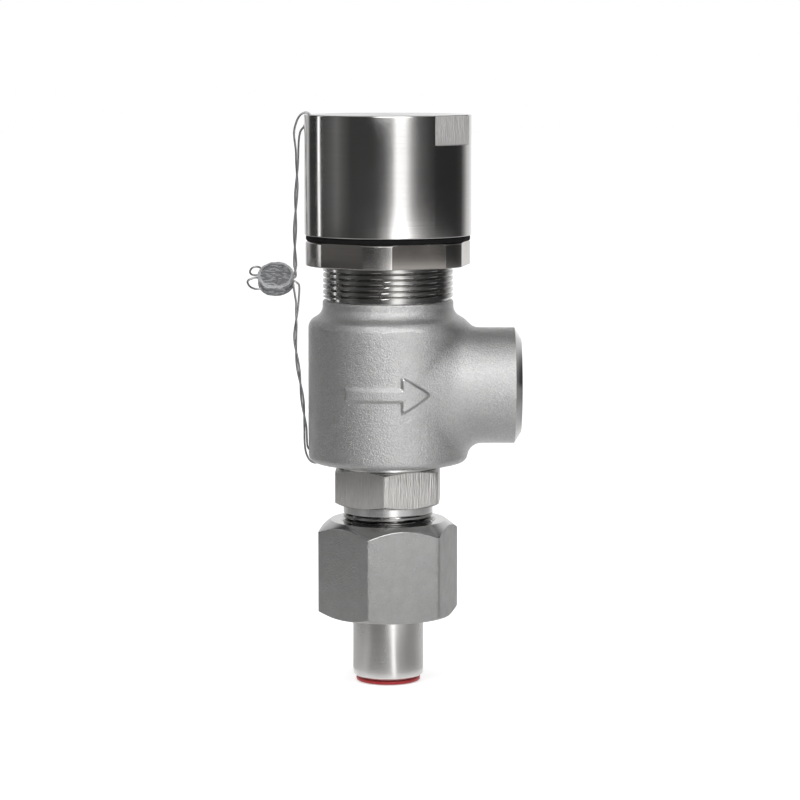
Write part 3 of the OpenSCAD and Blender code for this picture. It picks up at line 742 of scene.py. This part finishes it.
def paint_body(body):
    """Gives machined faces their finish, and says which faces are still cast skin."""
    centres = np.array([f.center for f in body.data.polygons]) / MM
    x_edge = OUTLET_REACH - OUTLET_EDGE_H
    skin = (np.abs(cast_field(centres)) < NEAR_SKIN) & (centres[:, 0] < x_edge + 0.1)
    for material in (THREAD_STEEL, BORE_STEEL, FACED_STEEL):
        body.data.materials.append(material)
    cast, threaded, bored, faced = range(4)
    for face, (x, y, z), is_skin in zip(body.data.polygons, centres, skin):
        across = math.hypot(y, z - Z_OUTLET)
        if is_skin:
            face.material_index = cast
        elif x > x_edge - 0.2 and across > OUTLET_THREAD_R + 0.8:
            face.material_index = faced
        elif x > 16 and across < OUTLET_R:
            face.material_index = bored
        else:
            face.material_index = threaded
    return skin


def smooth_skin(body, skin):
    """Takes the shading of the cast skin from the field, so that no cut edge disturbs it."""
    mesh = body.data
    normals = np.zeros(len(mesh.loops) * 3)
    mesh.corner_normals.foreach_get("vector", normals)
    normals = normals.reshape(-1, 3)
    corners = np.concatenate([np.arange(f.loop_start, f.loop_start + f.loop_total)
                              for f, s in zip(mesh.polygons, skin) if s])
    vertex = np.zeros(len(mesh.loops), int)
    mesh.loops.foreach_get("vertex_index", vertex)
    place = np.zeros(len(mesh.vertices) * 3)
    mesh.vertices.foreach_get("co", place)
    at = place.reshape(-1, 3)[vertex[corners]] / MM
    slope = gradient(cast_field, at, 0.25)
    normals[corners] = slope / np.linalg.norm(slope, axis=-1)[:, None]
    mesh.normals_split_custom_set(normals.tolist())


# Inlet nozzle, union and stub


def hexagon_r(angle, af, turn, soft=0.35):
    """Radius of a hexagon with slightly worn corners."""
    wear = 0.22
    corner = af / 2 / math.cos(math.pi / 6)
    wrapped = (angle - FRONT - turn) % (math.pi / 3) - math.pi / 6
    r = af / 2 / math.cos(wrapped)
    limit = corner - wear
    blend = min(max(0.5 + 0.5 * (limit - r) / soft, 0), 1)
    return limit * (1 - blend) + r * blend - soft * blend * (1 - blend)


def hexagon_corners(turn):
    """Angles of the six corners."""
    return [FRONT + turn + math.pi / 3 * k for k in range(6)]


def union_nut():
    """Large hexagon nut: chamfered above, with a lip that holds the stub's collar."""
    flat = NUT_AF / 2
    z0, z1 = nut_lo.z, nut_hi.z
    z_lip, lip = z0 + 6.6, 10.95
    face = flat - 1.55
    thread = 13.55

    def outline(angle):
        r = hexagon_r(angle, NUT_AF, NUT_TURN)
        return rounded([
            (lip, z0, 0.3), (flat, z0, 0.4), (r, z0 + (r - flat) * 0.5 + 0.02, 0.3),
            (r, z1 - (r - face) * 0.78, 0.35), (face, z1, 0.4), (thread + 0.9, z1, 0.15),
            (thread, z1 - 0.9, 0.1), (thread, z_lip, 0), (lip, z_lip, 0)], 3)

    nut = turned("union_hexagon", circle(180, hexagon_corners(NUT_TURN)), outline)
    dress(nut, "nut_steel", "union_nut", "union_nut")
    paint_faces(nut, CHAMFER_STEEL, lambda c, n: n.z > 0.3 and c.z > z1 - 4)


def nozzle():
    """Hexagon with a threaded spigot below, and above it the nose that ends in the seat."""
    flat, z_washer = HEX_AF / 2, washer_lo.z
    spigot, bore, neck = 13.5, 7.5, 12
    pitch, depth, run_out, chamfer = 1.5, 0.85, 0.9, 1.2
    z_collar = Z_HEX - 2.4
    z0, z1 = nozzle_lo.z, Z_HEX + 1
    heights = spaced(z0, z1, int((z1 - z0) / pitch * 10))

    def hexagon(angle):
        r = hexagon_r(angle, HEX_AF, HEX_TURN, 0.06)
        return rounded([
            (9, Z_HEX, 0), (flat - 0.1, Z_HEX, 0.25), (r, Z_HEX + (r - flat) * 0.45 + 0.12, 0.2),
            (r, z_washer - (r - flat) * 0.3 - 0.12, 0.2), (flat - 0.1, z_washer, 0.2),
            (9, z_washer, 0)], 3)

    def spigot_outline(angle):
        row = [(bore, z1), (bore, z0)]
        for z in heights:
            into = min(max((z_collar - z) / run_out, 0), 1)
            r = thread_r(spigot, pitch, depth * into, z, angle)
            row.append((min(r, spigot - chamfer + (z - z0)), z))
        return row

    piece = turned("nozzle_hexagon", circle(180, hexagon_corners(HEX_TURN)), hexagon)
    carve(piece, turned("spigot", circle(144), spigot_outline), "UNION")
    nose = [(7, z_washer - 3, 0), (neck, z_washer - 3, 0), (neck, 77.4, 0.1), (11.4, 78, 0.1),
            (9, 78, 0.3), (9, 82.4, 0.3), (7.2, 84, 0.15), (6, 84, 0.1), (6, 76, 0.3), (7, 72, 0)]
    carve(piece, lathe("nose", nose, 120), "UNION")
    clean(piece, 36)
    dress(piece, "hex_steel", "valve", "inlet_nozzle")

    def off_flats(c, n):
        return not Z_HEX - 0.01 <= c.z <= z_washer + 0.01 or abs(n.z) > 0.9 or off_axis(c) < neck

    paint_faces(piece, COLLAR_STEEL, off_flats)
    # The thread below the collar is painted darker: painted shade
    paint_faces(piece, PAINTED_SHADE_THREAD, lambda c, n: c.z < z_collar - 0.1 and off_axis(c) > bore + 1)


def stub():
    """Pipe stub with a weld bevel below and a collar above, inside the nut."""
    r, bore, collar, top = 10.65, 8.0, 12.6, 31.5
    step = nut_lo.z - 0.4
    corners = [(bore, 0, 0.15), (r - 1.45, 0, 0.12), (r, 1.1, 0.3), (r, step, 0.1),
               (r - 0.6, step + 0.3, 0.1), (r - 0.6, 26, 0.1), (collar, 26, 0.2), (collar, top, 0.4),
               (bore, top, 0.1)]
    dress(lathe("pipe_stub", corners), "turned_steel", "inlet_stub", "weld_stub")


def plug():
    """Shipping plug: a hollow stem with a thin rim."""
    rim, t = plug_hi.x, -plug_lo.z
    stem, inside, top = 7.95, 6.65, 12
    corners = [(0, -t, 0), (rim - 1.6, -t, 0.3), (rim - 0.9, -t + 0.12, 0.3), (rim, -t + 0.25, 0.3),
               (rim, -0.12, 0.3), (rim - 0.5, 0, 0.15), (stem, 0, 0.1), (stem, top - 2, 0.3),
               (stem - 0.5, top, 0.2), (inside, top, 0.2), (inside, 0.4, 0.2), (0, 0.4, 0)]
    outline = rounded(corners)
    piece = turned("shipping_plug", circle(144), lambda a: outline, closed=False)
    dress(piece, "red_plastic", "end_plug", "end_plug")


def washer():
    """Thin ring between the hexagon and the casting."""
    r, bore, z0, z1 = washer_hi.x, 12.3, washer_lo.z, washer_hi.z
    piece = lathe("body_washer", [(bore, z0, 0.1), (r, z0, 0.35), (r, z1, 0.35), (bore, z1, 0.1)])
    dress(piece, "washer_steel", "valve", "nozzle_washer")


# Cap, lock ring and sealing ring


def flat_r(angle, radius, distance, turns):
    """Radius of a round bar with flats at some angles."""
    r = radius
    for turn in turns:
        off = (angle - turn + math.pi) % (2 * math.pi) - math.pi
        if abs(off) < math.pi / 3:
            r = min(r, distance / math.cos(off))
    return r


def padded(points, count):
    """Repeats the last point so that every outline has as many points."""
    return list(points) + [points[-1]] * (count - len(points))


def cap():
    """Adjusting cap: hollow below for the neck thread, with two wrench flats and a wire hole."""
    r, z0, z1 = cap_hi.x, cap_lo.z, cap_hi.z
    z_flat = z1 - CAP_FLAT_H
    distance = r - CAP_FLAT_DEPTH
    turns = [CAP_FLAT_TURN, CAP_FLAT_TURN + math.pi]
    half = math.acos(distance / r)
    edges = [turn + side * half for turn in turns for side in (-1, 1)]
    chamber_r, z_chamber, z_ceiling = 15, z0 + 17.2, z0 + 31
    inside = [(0, z_ceiling), (chamber_r, z_ceiling), (chamber_r, z_chamber), (TURNING_R, z_chamber)]

    def outline(angle):
        f = flat_r(angle, r, distance, turns)
        on_flat = r - f > 0.02
        outside = rounded([
            (TURNING_R, z0 + 0.7, 0), (20.3, z0, 0.1), (r, z0, 0.35), (r, z_flat, 0.12 * on_flat),
            (f, z_flat, 0.2 * on_flat), (f, z1, 0.35), (f - 1, z1, 0), (0, z1, 0)], 3)
        return inside + [tuple(p) for p in padded(outside, 24)]

    def milled(c, n):
        return c.z > z_flat + 0.1 and 20 < off_axis(c) < r - 0.06 and abs(n.z) < 0.5

    piece = turned("cap_shell", circle(240, edges), outline, closed=False)
    outer, inner = Vector((0, 0, CAP_HOLE_DOWN)), Vector((CAP_HOLE_IN, 0, 0))
    drill(piece, CAP_CORNER - outer, CAP_CORNER + inner)
    clean(piece, 36)
    dress(piece, "cap_steel", "cap", "cap")
    paint_faces(piece, MILLED_FLAT, milled)


def lock_ring():
    """Thin ring nut with six milled flats and a chamfer where its round parts meet the top."""
    r, top = LOCK_RING_R, 0.6
    z0, z1 = ring_lo.z, ring_hi.z
    flats = [(FRONT + math.radians(a), r * math.cos(math.radians(half))) for a, half in RING_FLATS]
    edges = [FRONT + math.radians(a + s * half) for a, half in RING_FLATS for s in (-1, 1)]

    def outline(angle):
        f = min(flat_r(angle, r, distance, [turn]) for turn, distance in flats)
        fall = max(f - (r - top), 0) * 0.75
        return rounded([
            (20.2, z0, 0.1), (f, z0, 0.3), (f, z1 - fall - 0.1, 0.15),
            (min(f - 0.1, r - top), z1, 0.15), (20, z1, 0.1), (TURNING_R, z1 - 0.5, 0),
            (TURNING_R, z0 + 0.65, 0)], 3)

    piece = turned("ring_nut", circle(240, edges), outline)
    dress(piece, "ring_steel", "lock_ring", "lock_ring")
    paint_faces(piece, RING_FLAT, lambda c, n: 23 < off_axis(c) < r - 0.03 and abs(n.z) < 0.3)


def sealing_ring():
    """Black ring between lock ring and cap."""
    r, bore, z0, z1 = 24.6, 19.8, seal_lo.z, seal_hi.z
    piece = lathe("black_ring", [(bore, z0, 0.1), (r, z0, 0.6), (r, z1, 0.6), (bore, z1, 0.1)])
    dress(piece, "black_rubber", "sealing_ring", "sealing_ring")


def coil():
    """Compression spring with closed ends, ground flat."""
    wire_r, turns, steps = 1.8, 8, 40
    lo, hi = spring_lo.z, spring_hi.z
    radius = spring_hi.x - wire_r
    z0, z1 = lo + wire_r / 2, hi - wire_r / 2
    closed = 2 * wire_r + 0.1
    pitch = (z1 - z0 - 2 * closed) / (turns - 2)
    points = []
    for i in range(turns * steps + 1):
        u = i / steps
        a = 2 * math.pi * u
        z = z0 + closed + pitch * (u - 1)
        if u < 1:
            z = z0 + closed * u
        elif u > turns - 1:
            z = z1 - closed * (turns - u)
        points.append(Vector((radius * math.cos(a), radius * math.sin(a), z)))
    piece = wire("coil_spring", points, wire_r - 0.02, 14)
    for v in piece.data.vertices:
        v.co.z = min(max(v.co.z, lo * MM), hi * MM)
    dress(piece, "spring_steel", "spring_seat", "spring")
    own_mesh(piece)


# Wires and lead seal


def in_seal(points):
    """Points in the plane between the seal's two halves."""
    sin, cos = math.sin(LEAD_LEAN), math.cos(LEAD_LEAN)
    return [LEAD_AT + Vector((u, v * sin, v * cos)) for u, v in points]


def upright(points, start=Vector()):
    """Points (x, z) in the plane of the two holes, counted from start."""
    return [start + Vector((x, 0, z)) for x, z in points]


def strand(line, start_z, end_z, turns, side):
    """One of two strands twisted round a line of (x, z) points, between two heights."""
    spread = 0.34
    out = []
    for p in curve_points(upright(line), 14):
        t = (p.z - start_z) / (end_z - start_z)
        a = 2 * math.pi * turns * t
        if 0 <= t <= 1:
            out.append(p + Vector((math.cos(a), math.sin(a), 0)) * spread * side)
    return out


def sealed_wire(name, tail, twist, side, loop, home):
    """Wire out of the seal, twisted with itself to a hole, through the hole and back again."""
    out, back = strand(*twist, side), strand(*twist, -side)
    route = curve_points(tail + [out[0]], 6)[:-1] + out
    route += curve_points([out[-1]] + loop + [back[-1]], 6)[1:-1] + back[::-1]
    route += curve_points([back[0]] + home, 6)[1:]
    return wire(name, route, WIRE_R)


def upper_wire():
    """Wire from the seal through the cap's corner."""
    tail = in_seal([(-4.2, 1.6), (-6.3, 1.6), (-7.4, 1.9), (-7.9, 3.1), (-7.1, 4.7), (-5.3, 4.9),
                    (-3.4, 3.2), (0, 1.4), (3.5, 1.2)]) + upright([(-28.3, 122.2)])
    line = [(-27.8, 125), (-27.9, 132.7), (-27.5, 144.7), (-27.2, 150.7), (-27.1, 157.5)]
    loop = upright([(-2.5, -10.5), (-3, -5.6), (-2.3, -2.3), (-1.2, -0.3), (0.1, 0.5), (1.3, 0.38),
                    (1.7, -0.4), (0.8, -1.9), (-0.1, -3.7), (-1.1, -5.1), (-1.6, -8)], CAP_CORNER)
    home = upright([(-27.6, 122.4), (-28.2, 121.3), (-30.5, 120.7)])
    piece = sealed_wire("upper_wire", tail, (line, 125, 157.5, 1.5), 1, loop, home)
    piece.data.materials.append(MATERIALS["wire_steel"])
    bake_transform(piece)
    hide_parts("seal_wire_upper")


def lower_wire():
    """Wire from the seal through the corner of the body's foot."""
    tail = in_seal([(-3.4, -2.8), (-4.9, -4), (-6.4, -3.9), (-7.8, -2.9), (-8.5, -1), (-7.4, 0.1),
                    (-5.4, 0.5), (-2, -1.6), (2, -2.2)]) + upright([(-28.6, 119.4), (-28.3, 118.4)])
    line = [(-27.2, 114), (-27.6, 108), (-27.9, 103), (-27.4, 97), (-26.2, 88), (-25.1, 78),
            (-24.9, 75)]
    loop = upright([(-1.2, 4.6), (-0.8, 1.6), (0.2, -0.6), (1.6, -1.5), (2.8, -1.3), (3.1, -0.2),
                    (2.1, 1), (1, 2.1), (-0.3, 3.4)], BODY_CORNER)
    home = upright([(-26.6, 118.6), (-27.3, 119.9), (-28.3, 120.4), (-30.5, 120.2)])
    piece = sealed_wire("lower_wire", tail, (line, 113.9, 75.1, 2), -1, loop, home)
    dress(piece, "wire_steel", "valve", "seal_wire_lower")


def lead_seal():
    """Round seal squeezed from two halves, with a creased face inside a raised rim."""
    r, half = LEAD_R, LEAD_HALF
    rng = np.random.default_rng(11)
    phases = rng.uniform(0, 6.28, 12)

    def outline(angle):
        worn = sum(math.sin((k + 2) * angle + phases[k]) / (k + 3) for k in range(6)) * 0.09
        rr = r + worn - 0.12
        corners = [(rr - 0.4, -half + 0.05, 0.3), (rr, -half + 0.6, 0.3), (rr - 0.05, -0.35, 0.15),
                   (rr - 0.4, 0, 0), (rr, 0.3, 0.15), (rr + 0.02, half - 0.5, 0.3),
                   (rr - 0.45, half - 0.02, 0.25), (rr - 0.95, half - 0.35, 0.25)]
        side = [tuple(p) for p in rounded(corners, 3)]
        faces = [(rr * f, half - 0.35) for f in (0.7, 0.6, 0.5, 0.4, 0.3, 0.2, 0.1)]
        under = [(rr * f, -half) for f in (0, 0.3, 0.6)]
        return under + side + faces + [(0, half - 0.35)]

    piece = turned("lead_disc", circle(96), outline, closed=False)
    for v in piece.data.vertices:
        x, y, z = v.co / MM
        crease = (math.sin(1.7 * x + 2.1 * y + phases[7]) + math.sin(2.9 * x - 1.3 * y + phases[8])
                  + 0.7 * math.sin(4.6 * y + 1.1 * x + phases[9]))
        v.co.z += crease * 0.07 * MM * (1 if z > 0 else 0.5)
        dent = math.exp(-((x - 0.6) ** 2 / 1.3 + (y - 3.0) ** 2 / 0.35))
        if z > 0.5:
            v.co.z -= 0.45 * dent * MM
    stand = Matrix.Translation(LEAD_AT * MM) @ Matrix.Rotation(math.pi / 2 - LEAD_LEAN, 4, "X")
    piece.data.transform(stand)
    clean(piece, 50)
    dress(piece, "lead", "valve", "lead_seal")
    lie = stand.inverted()

    def on_rim(centre, _):
        at = lie @ (centre * MM) / MM
        return at.z > half - 0.75 and off_axis(at) > r - 1.0

    paint_faces(piece, WORN_LEAD_WITH_GLINTS, on_rim)


def dress_nodes():
    """Gives the CAD solids that stay the finish of their slot."""
    slots = {part["node"]: part["material_slot"] for part in frame["record"]["subparts"]}
    for name, obj in frame["nodes"].items():
        if not obj.hide_render:
            obj.data.materials.clear()
            obj.data.materials.append(MATERIALS[slots[name]])


# Stage, light and camera

# Brightness that the steel mirrors, by direction in degrees from the front towards the
# outlet. Dark studio walls, strip lights and a softbox stand round the cap.
AROUND = [
    (-180, 1.0), (-150, 0.75), (-137, 0.6), (-132, 0.05), (-109, 0.04), (-107.8, 2.4),
    (-104.6, 2.4), (-103.4, 0.07), (-95, 0.09), (-83, 0.13), (-72, 0.2), (-62, 0.12), (-50, 0.06),
    (-35, 0.06), (-18, 0.055), (-9, 0.09), (-2, 0.2), (6, 0.55), (12, 1.75), (23, 1.55), (27, 0.95),
    (33, 0.45), (41, 0.17), (50, 0.1), (60, 0.055), (70, 0.035), (104, 0.035), (117, 0.06),
    (126, 0.3), (136, 0.75), (162, 1.1), (180, 1.0)]
# The same at the casting's height
BELOW = [
    (-180, 0.9), (-150, 0.5), (-138, 0.2), (-128, 0.04), (-95, 0.03), (-60, 0.04), (-35, 0.07),
    (-15, 0.18), (0, 0.9), (8, 2.8), (25, 2.8), (35, 1.4), (48, 0.7), (60, 0.38), (75, 0.28),
    (110, 0.25), (126, 0.4), (145, 0.75), (180, 0.9)]
# Floor far from the valve, and floor near it
FAR = [
    (-180, 0.85), (-148, 0.6), (-120, 0.35), (-95, 0.28), (-85, 0.3), (-66, 0.42), (-45, 0.28),
    (-15, 0.4), (2, 1.0), (9, 1.9), (20, 1.8), (28, 0.95), (54, 0.8), (70, 0.5), (100, 0.4),
    (125, 0.5), (148, 0.85), (180, 0.9)]
NEAR = [
    (-180, 0.7), (-134, 0.58), (-90, 0.54), (-68, 0.6), (-48, 0.38), (-26, 0.34), (-5, 0.42),
    (8, 0.5), (14, 1.7), (18, 1.7), (23, 0.5), (40, 0.4), (61, 0.34), (84, 0.38), (120, 0.65),
    (180, 0.8)]
# Softbox above the front: its edges in azimuth and in elevation, and its level
FRONT_BOX = (-24, 38, 23, 50, 7.5)
# Dark ceiling, and straight above it the lighter middle that the cap's top mirrors
OVERHEAD = 0.08
ZENITH = 0.4
# The screens stand on a dome, in millimetres
DOME_R = 320
DOME_Z = 100


def ease(t):
    """0 to 1 in a smooth step, as t goes from 0 to 1."""
    t = np.clip(t, 0, 1)
    return t * t * (3 - 2 * t)


def mixed(a, b, t):
    return a + (b - a) * ease(t)


def brightness(az, el):
    """Light level in a direction, in degrees. The ceiling comes lower behind the valve."""
    casting, floor_edge, middle = -4, -12.5, 42
    ceiling = 35 - 17 * ease((np.abs(az) - 90) / 40)
    high, low, far = (np.interp(az, *zip(*table)) for table in (AROUND, BELOW, FAR))
    level = mixed(high, low, (casting - el) / 3)
    level = mixed(level, far, (floor_edge - el) / 4)
    level = mixed(level, OVERHEAD, (el - ceiling) / 20)
    level = mixed(level, ZENITH, (el - middle) / 12)
    a0, a1, e0, e1, box = FRONT_BOX
    inside = ease((az - a0) / 14) * ease((a1 - az) / 14) * ease((el - e0) / 8)
    return level + np.maximum(box - level, 0) * inside * ease((e1 - el) / 9)


def glowing(name, points, levels):
    """Stage sheet over a grid of points that only reflections see, as bright as its levels."""
    n, m = levels.shape
    index = np.arange(n * m).reshape(n, m)
    faces = np.stack([index[:-1, :-1], index[1:, :-1], index[1:, 1:], index[:-1, 1:]], -1)
    obj = mesh_object(name, points.reshape(-1, 3), faces.reshape(-1, 4).tolist())
    paint = obj.data.attributes.new("level", "FLOAT_COLOR", "POINT")
    grey = np.repeat(levels.reshape(-1, 1), 3, axis=1)
    paint.data.foreach_set("color", np.hstack([grey, np.ones((n * m, 1))]).ravel())

    material = bpy.data.materials.new(name)
    material.use_nodes = True
    tree = material.node_tree
    tree.nodes.clear()
    source = tree.nodes.new("ShaderNodeAttribute")
    source.attribute_name = "level"
    glow = tree.nodes.new("ShaderNodeEmission")
    out = tree.nodes.new("ShaderNodeOutputMaterial")
    tree.links.new(source.outputs["Color"], glow.inputs["Color"])
    tree.links.new(glow.outputs[0], out.inputs["Surface"])
    obj.data.materials.append(material)
    for kind in ("camera", "diffuse", "transmission", "volume_scatter", "shadow"):
        setattr(obj, f"visible_{kind}", False)


def surround():
    """Dome of light and dark screens, and the floor as reflections see it."""
    around = np.unique(np.concatenate([np.linspace(-180, 180, 181), [a for a, _ in AROUND]]))
    up = np.concatenate([np.linspace(-18.4, 60, 50), [65, 75, 90]])
    az, el = np.meshgrid(around, up, indexing="ij")
    a, e = np.radians(az), np.radians(el)
    points = np.stack([np.sin(a) * np.cos(e), -np.cos(a) * np.cos(e), np.sin(e)], -1) * DOME_R
    points[..., 2] += DOME_Z
    glowing("surround", points, brightness(az, el))

    reach = np.array([20, 60, 120, 140, 160, 180, 200, 220, 304])
    a, r = np.meshgrid(np.radians(around), reach, indexing="ij")
    points = np.stack([np.sin(a) * r, -np.cos(a) * r, np.full_like(a, plug_lo.z + 0.3)], -1)
    near, far = (np.interp(np.degrees(a), *zip(*table)) for table in (NEAR, FAR))
    glowing("floor_card", points, mixed(near, far, (r - 140) / 80))


def for_rays(tree, kinds, low, high):
    """High for the named kinds of ray, and low for all others."""
    path = tree.nodes.new("ShaderNodeLightPath")
    seen = path.outputs[kinds[0]]
    for kind in kinds[1:]:
        either_kind = tree.nodes.new("ShaderNodeMath")
        either_kind.operation = "MAXIMUM"
        tree.links.new(seen, either_kind.inputs[0])
        tree.links.new(path.outputs[kind], either_kind.inputs[1])
        seen = either_kind.outputs[0]
    level = tree.nodes.new("ShaderNodeMapRange")
    level.inputs["To Min"].default_value = low
    level.inputs["To Max"].default_value = high
    tree.links.new(seen, level.inputs["Value"])
    return level.outputs[0]


def floor():
    """Pale floor under the plug. It glows a little where it is seen, and so stays white."""
    size, z = 6000, plug_lo.z
    corners = [(-size, -size, z), (size, -size, z), (size, size, z), (-size, size, z)]
    obj = mesh_object("floor", corners, [(0, 1, 2, 3)])
    material = bpy.data.materials.new("floor")
    material.use_nodes = True
    tree = material.node_tree
    shader = tree.nodes["Principled BSDF"]
    shader.inputs["Base Color"].default_value = (0.86, 0.86, 0.86, 1)
    shader.inputs["Roughness"].default_value = 0.9
    shader.inputs["Emission Color"].default_value = (1, 1, 1, 1)
    glow = for_rays(tree, ("Is Camera Ray", "Is Glossy Ray"), 0, 0.35)
    tree.links.new(glow, shader.inputs["Emission Strength"])
    obj.data.materials.append(material)


def world():
    """White where it is seen, and a plain soft light of 0.8 for the rest."""
    studio = bpy.data.worlds.new("studio")
    bpy.context.scene.world = studio
    studio.use_nodes = True
    tree = studio.node_tree
    back = tree.nodes["Background"]
    back.inputs["Color"].default_value = (1, 1, 1, 1)
    level = for_rays(tree, ("Is Camera Ray", "Is Glossy Ray", "Is Transmission Ray"), 0.8, 1.0)
    tree.links.new(level, back.inputs["Strength"])


def lamp(name, where, width, power):
    """Square lamp in metres and watts, turned to the middle of the valve."""
    light = bpy.data.lights.new(name, "AREA")
    light.shape = "RECTANGLE"
    light.size = light.size_y = width
    light.energy = power
    obj = bpy.data.objects.new(name, light)
    obj.location = where
    middle = Vector((0, 0, 0.09))
    obj.rotation_euler = (middle - Vector(where)).to_track_quat("-Z", "Y").to_euler()
    obj.visible_glossy = False
    bpy.context.scene.collection.objects.link(obj)


def camera():
    """Long lens in front of the valve, looking a little down, as in the photograph."""
    down = 6.85
    lens = bpy.data.cameras.new("camera")
    lens.lens, lens.sensor_width = 129.6, 36
    lens.clip_start, lens.clip_end = 0.01, 50
    view = bpy.data.objects.new("camera", lens)
    view.location = (0.0036, -0.862, 0.188)
    view.rotation_euler = (math.radians(90 - down), 0, 0)
    bpy.context.scene.collection.objects.link(view)
    bpy.context.scene.camera = view
    bpy.context.scene.view_settings.view_transform = "Standard"


# Build

for make in (valve_body, union_nut, nozzle, stub, plug, washer, cap, lock_ring, sealing_ring,
             lead_seal, coil, upper_wire, lower_wire, dress_nodes, surround, floor, world):
    make()
lamp("key", (-0.45, -0.75, 0.95), 0.5, 5)
lamp("fill", (0.7, -0.5, 0.8), 0.4, 3)
camera()
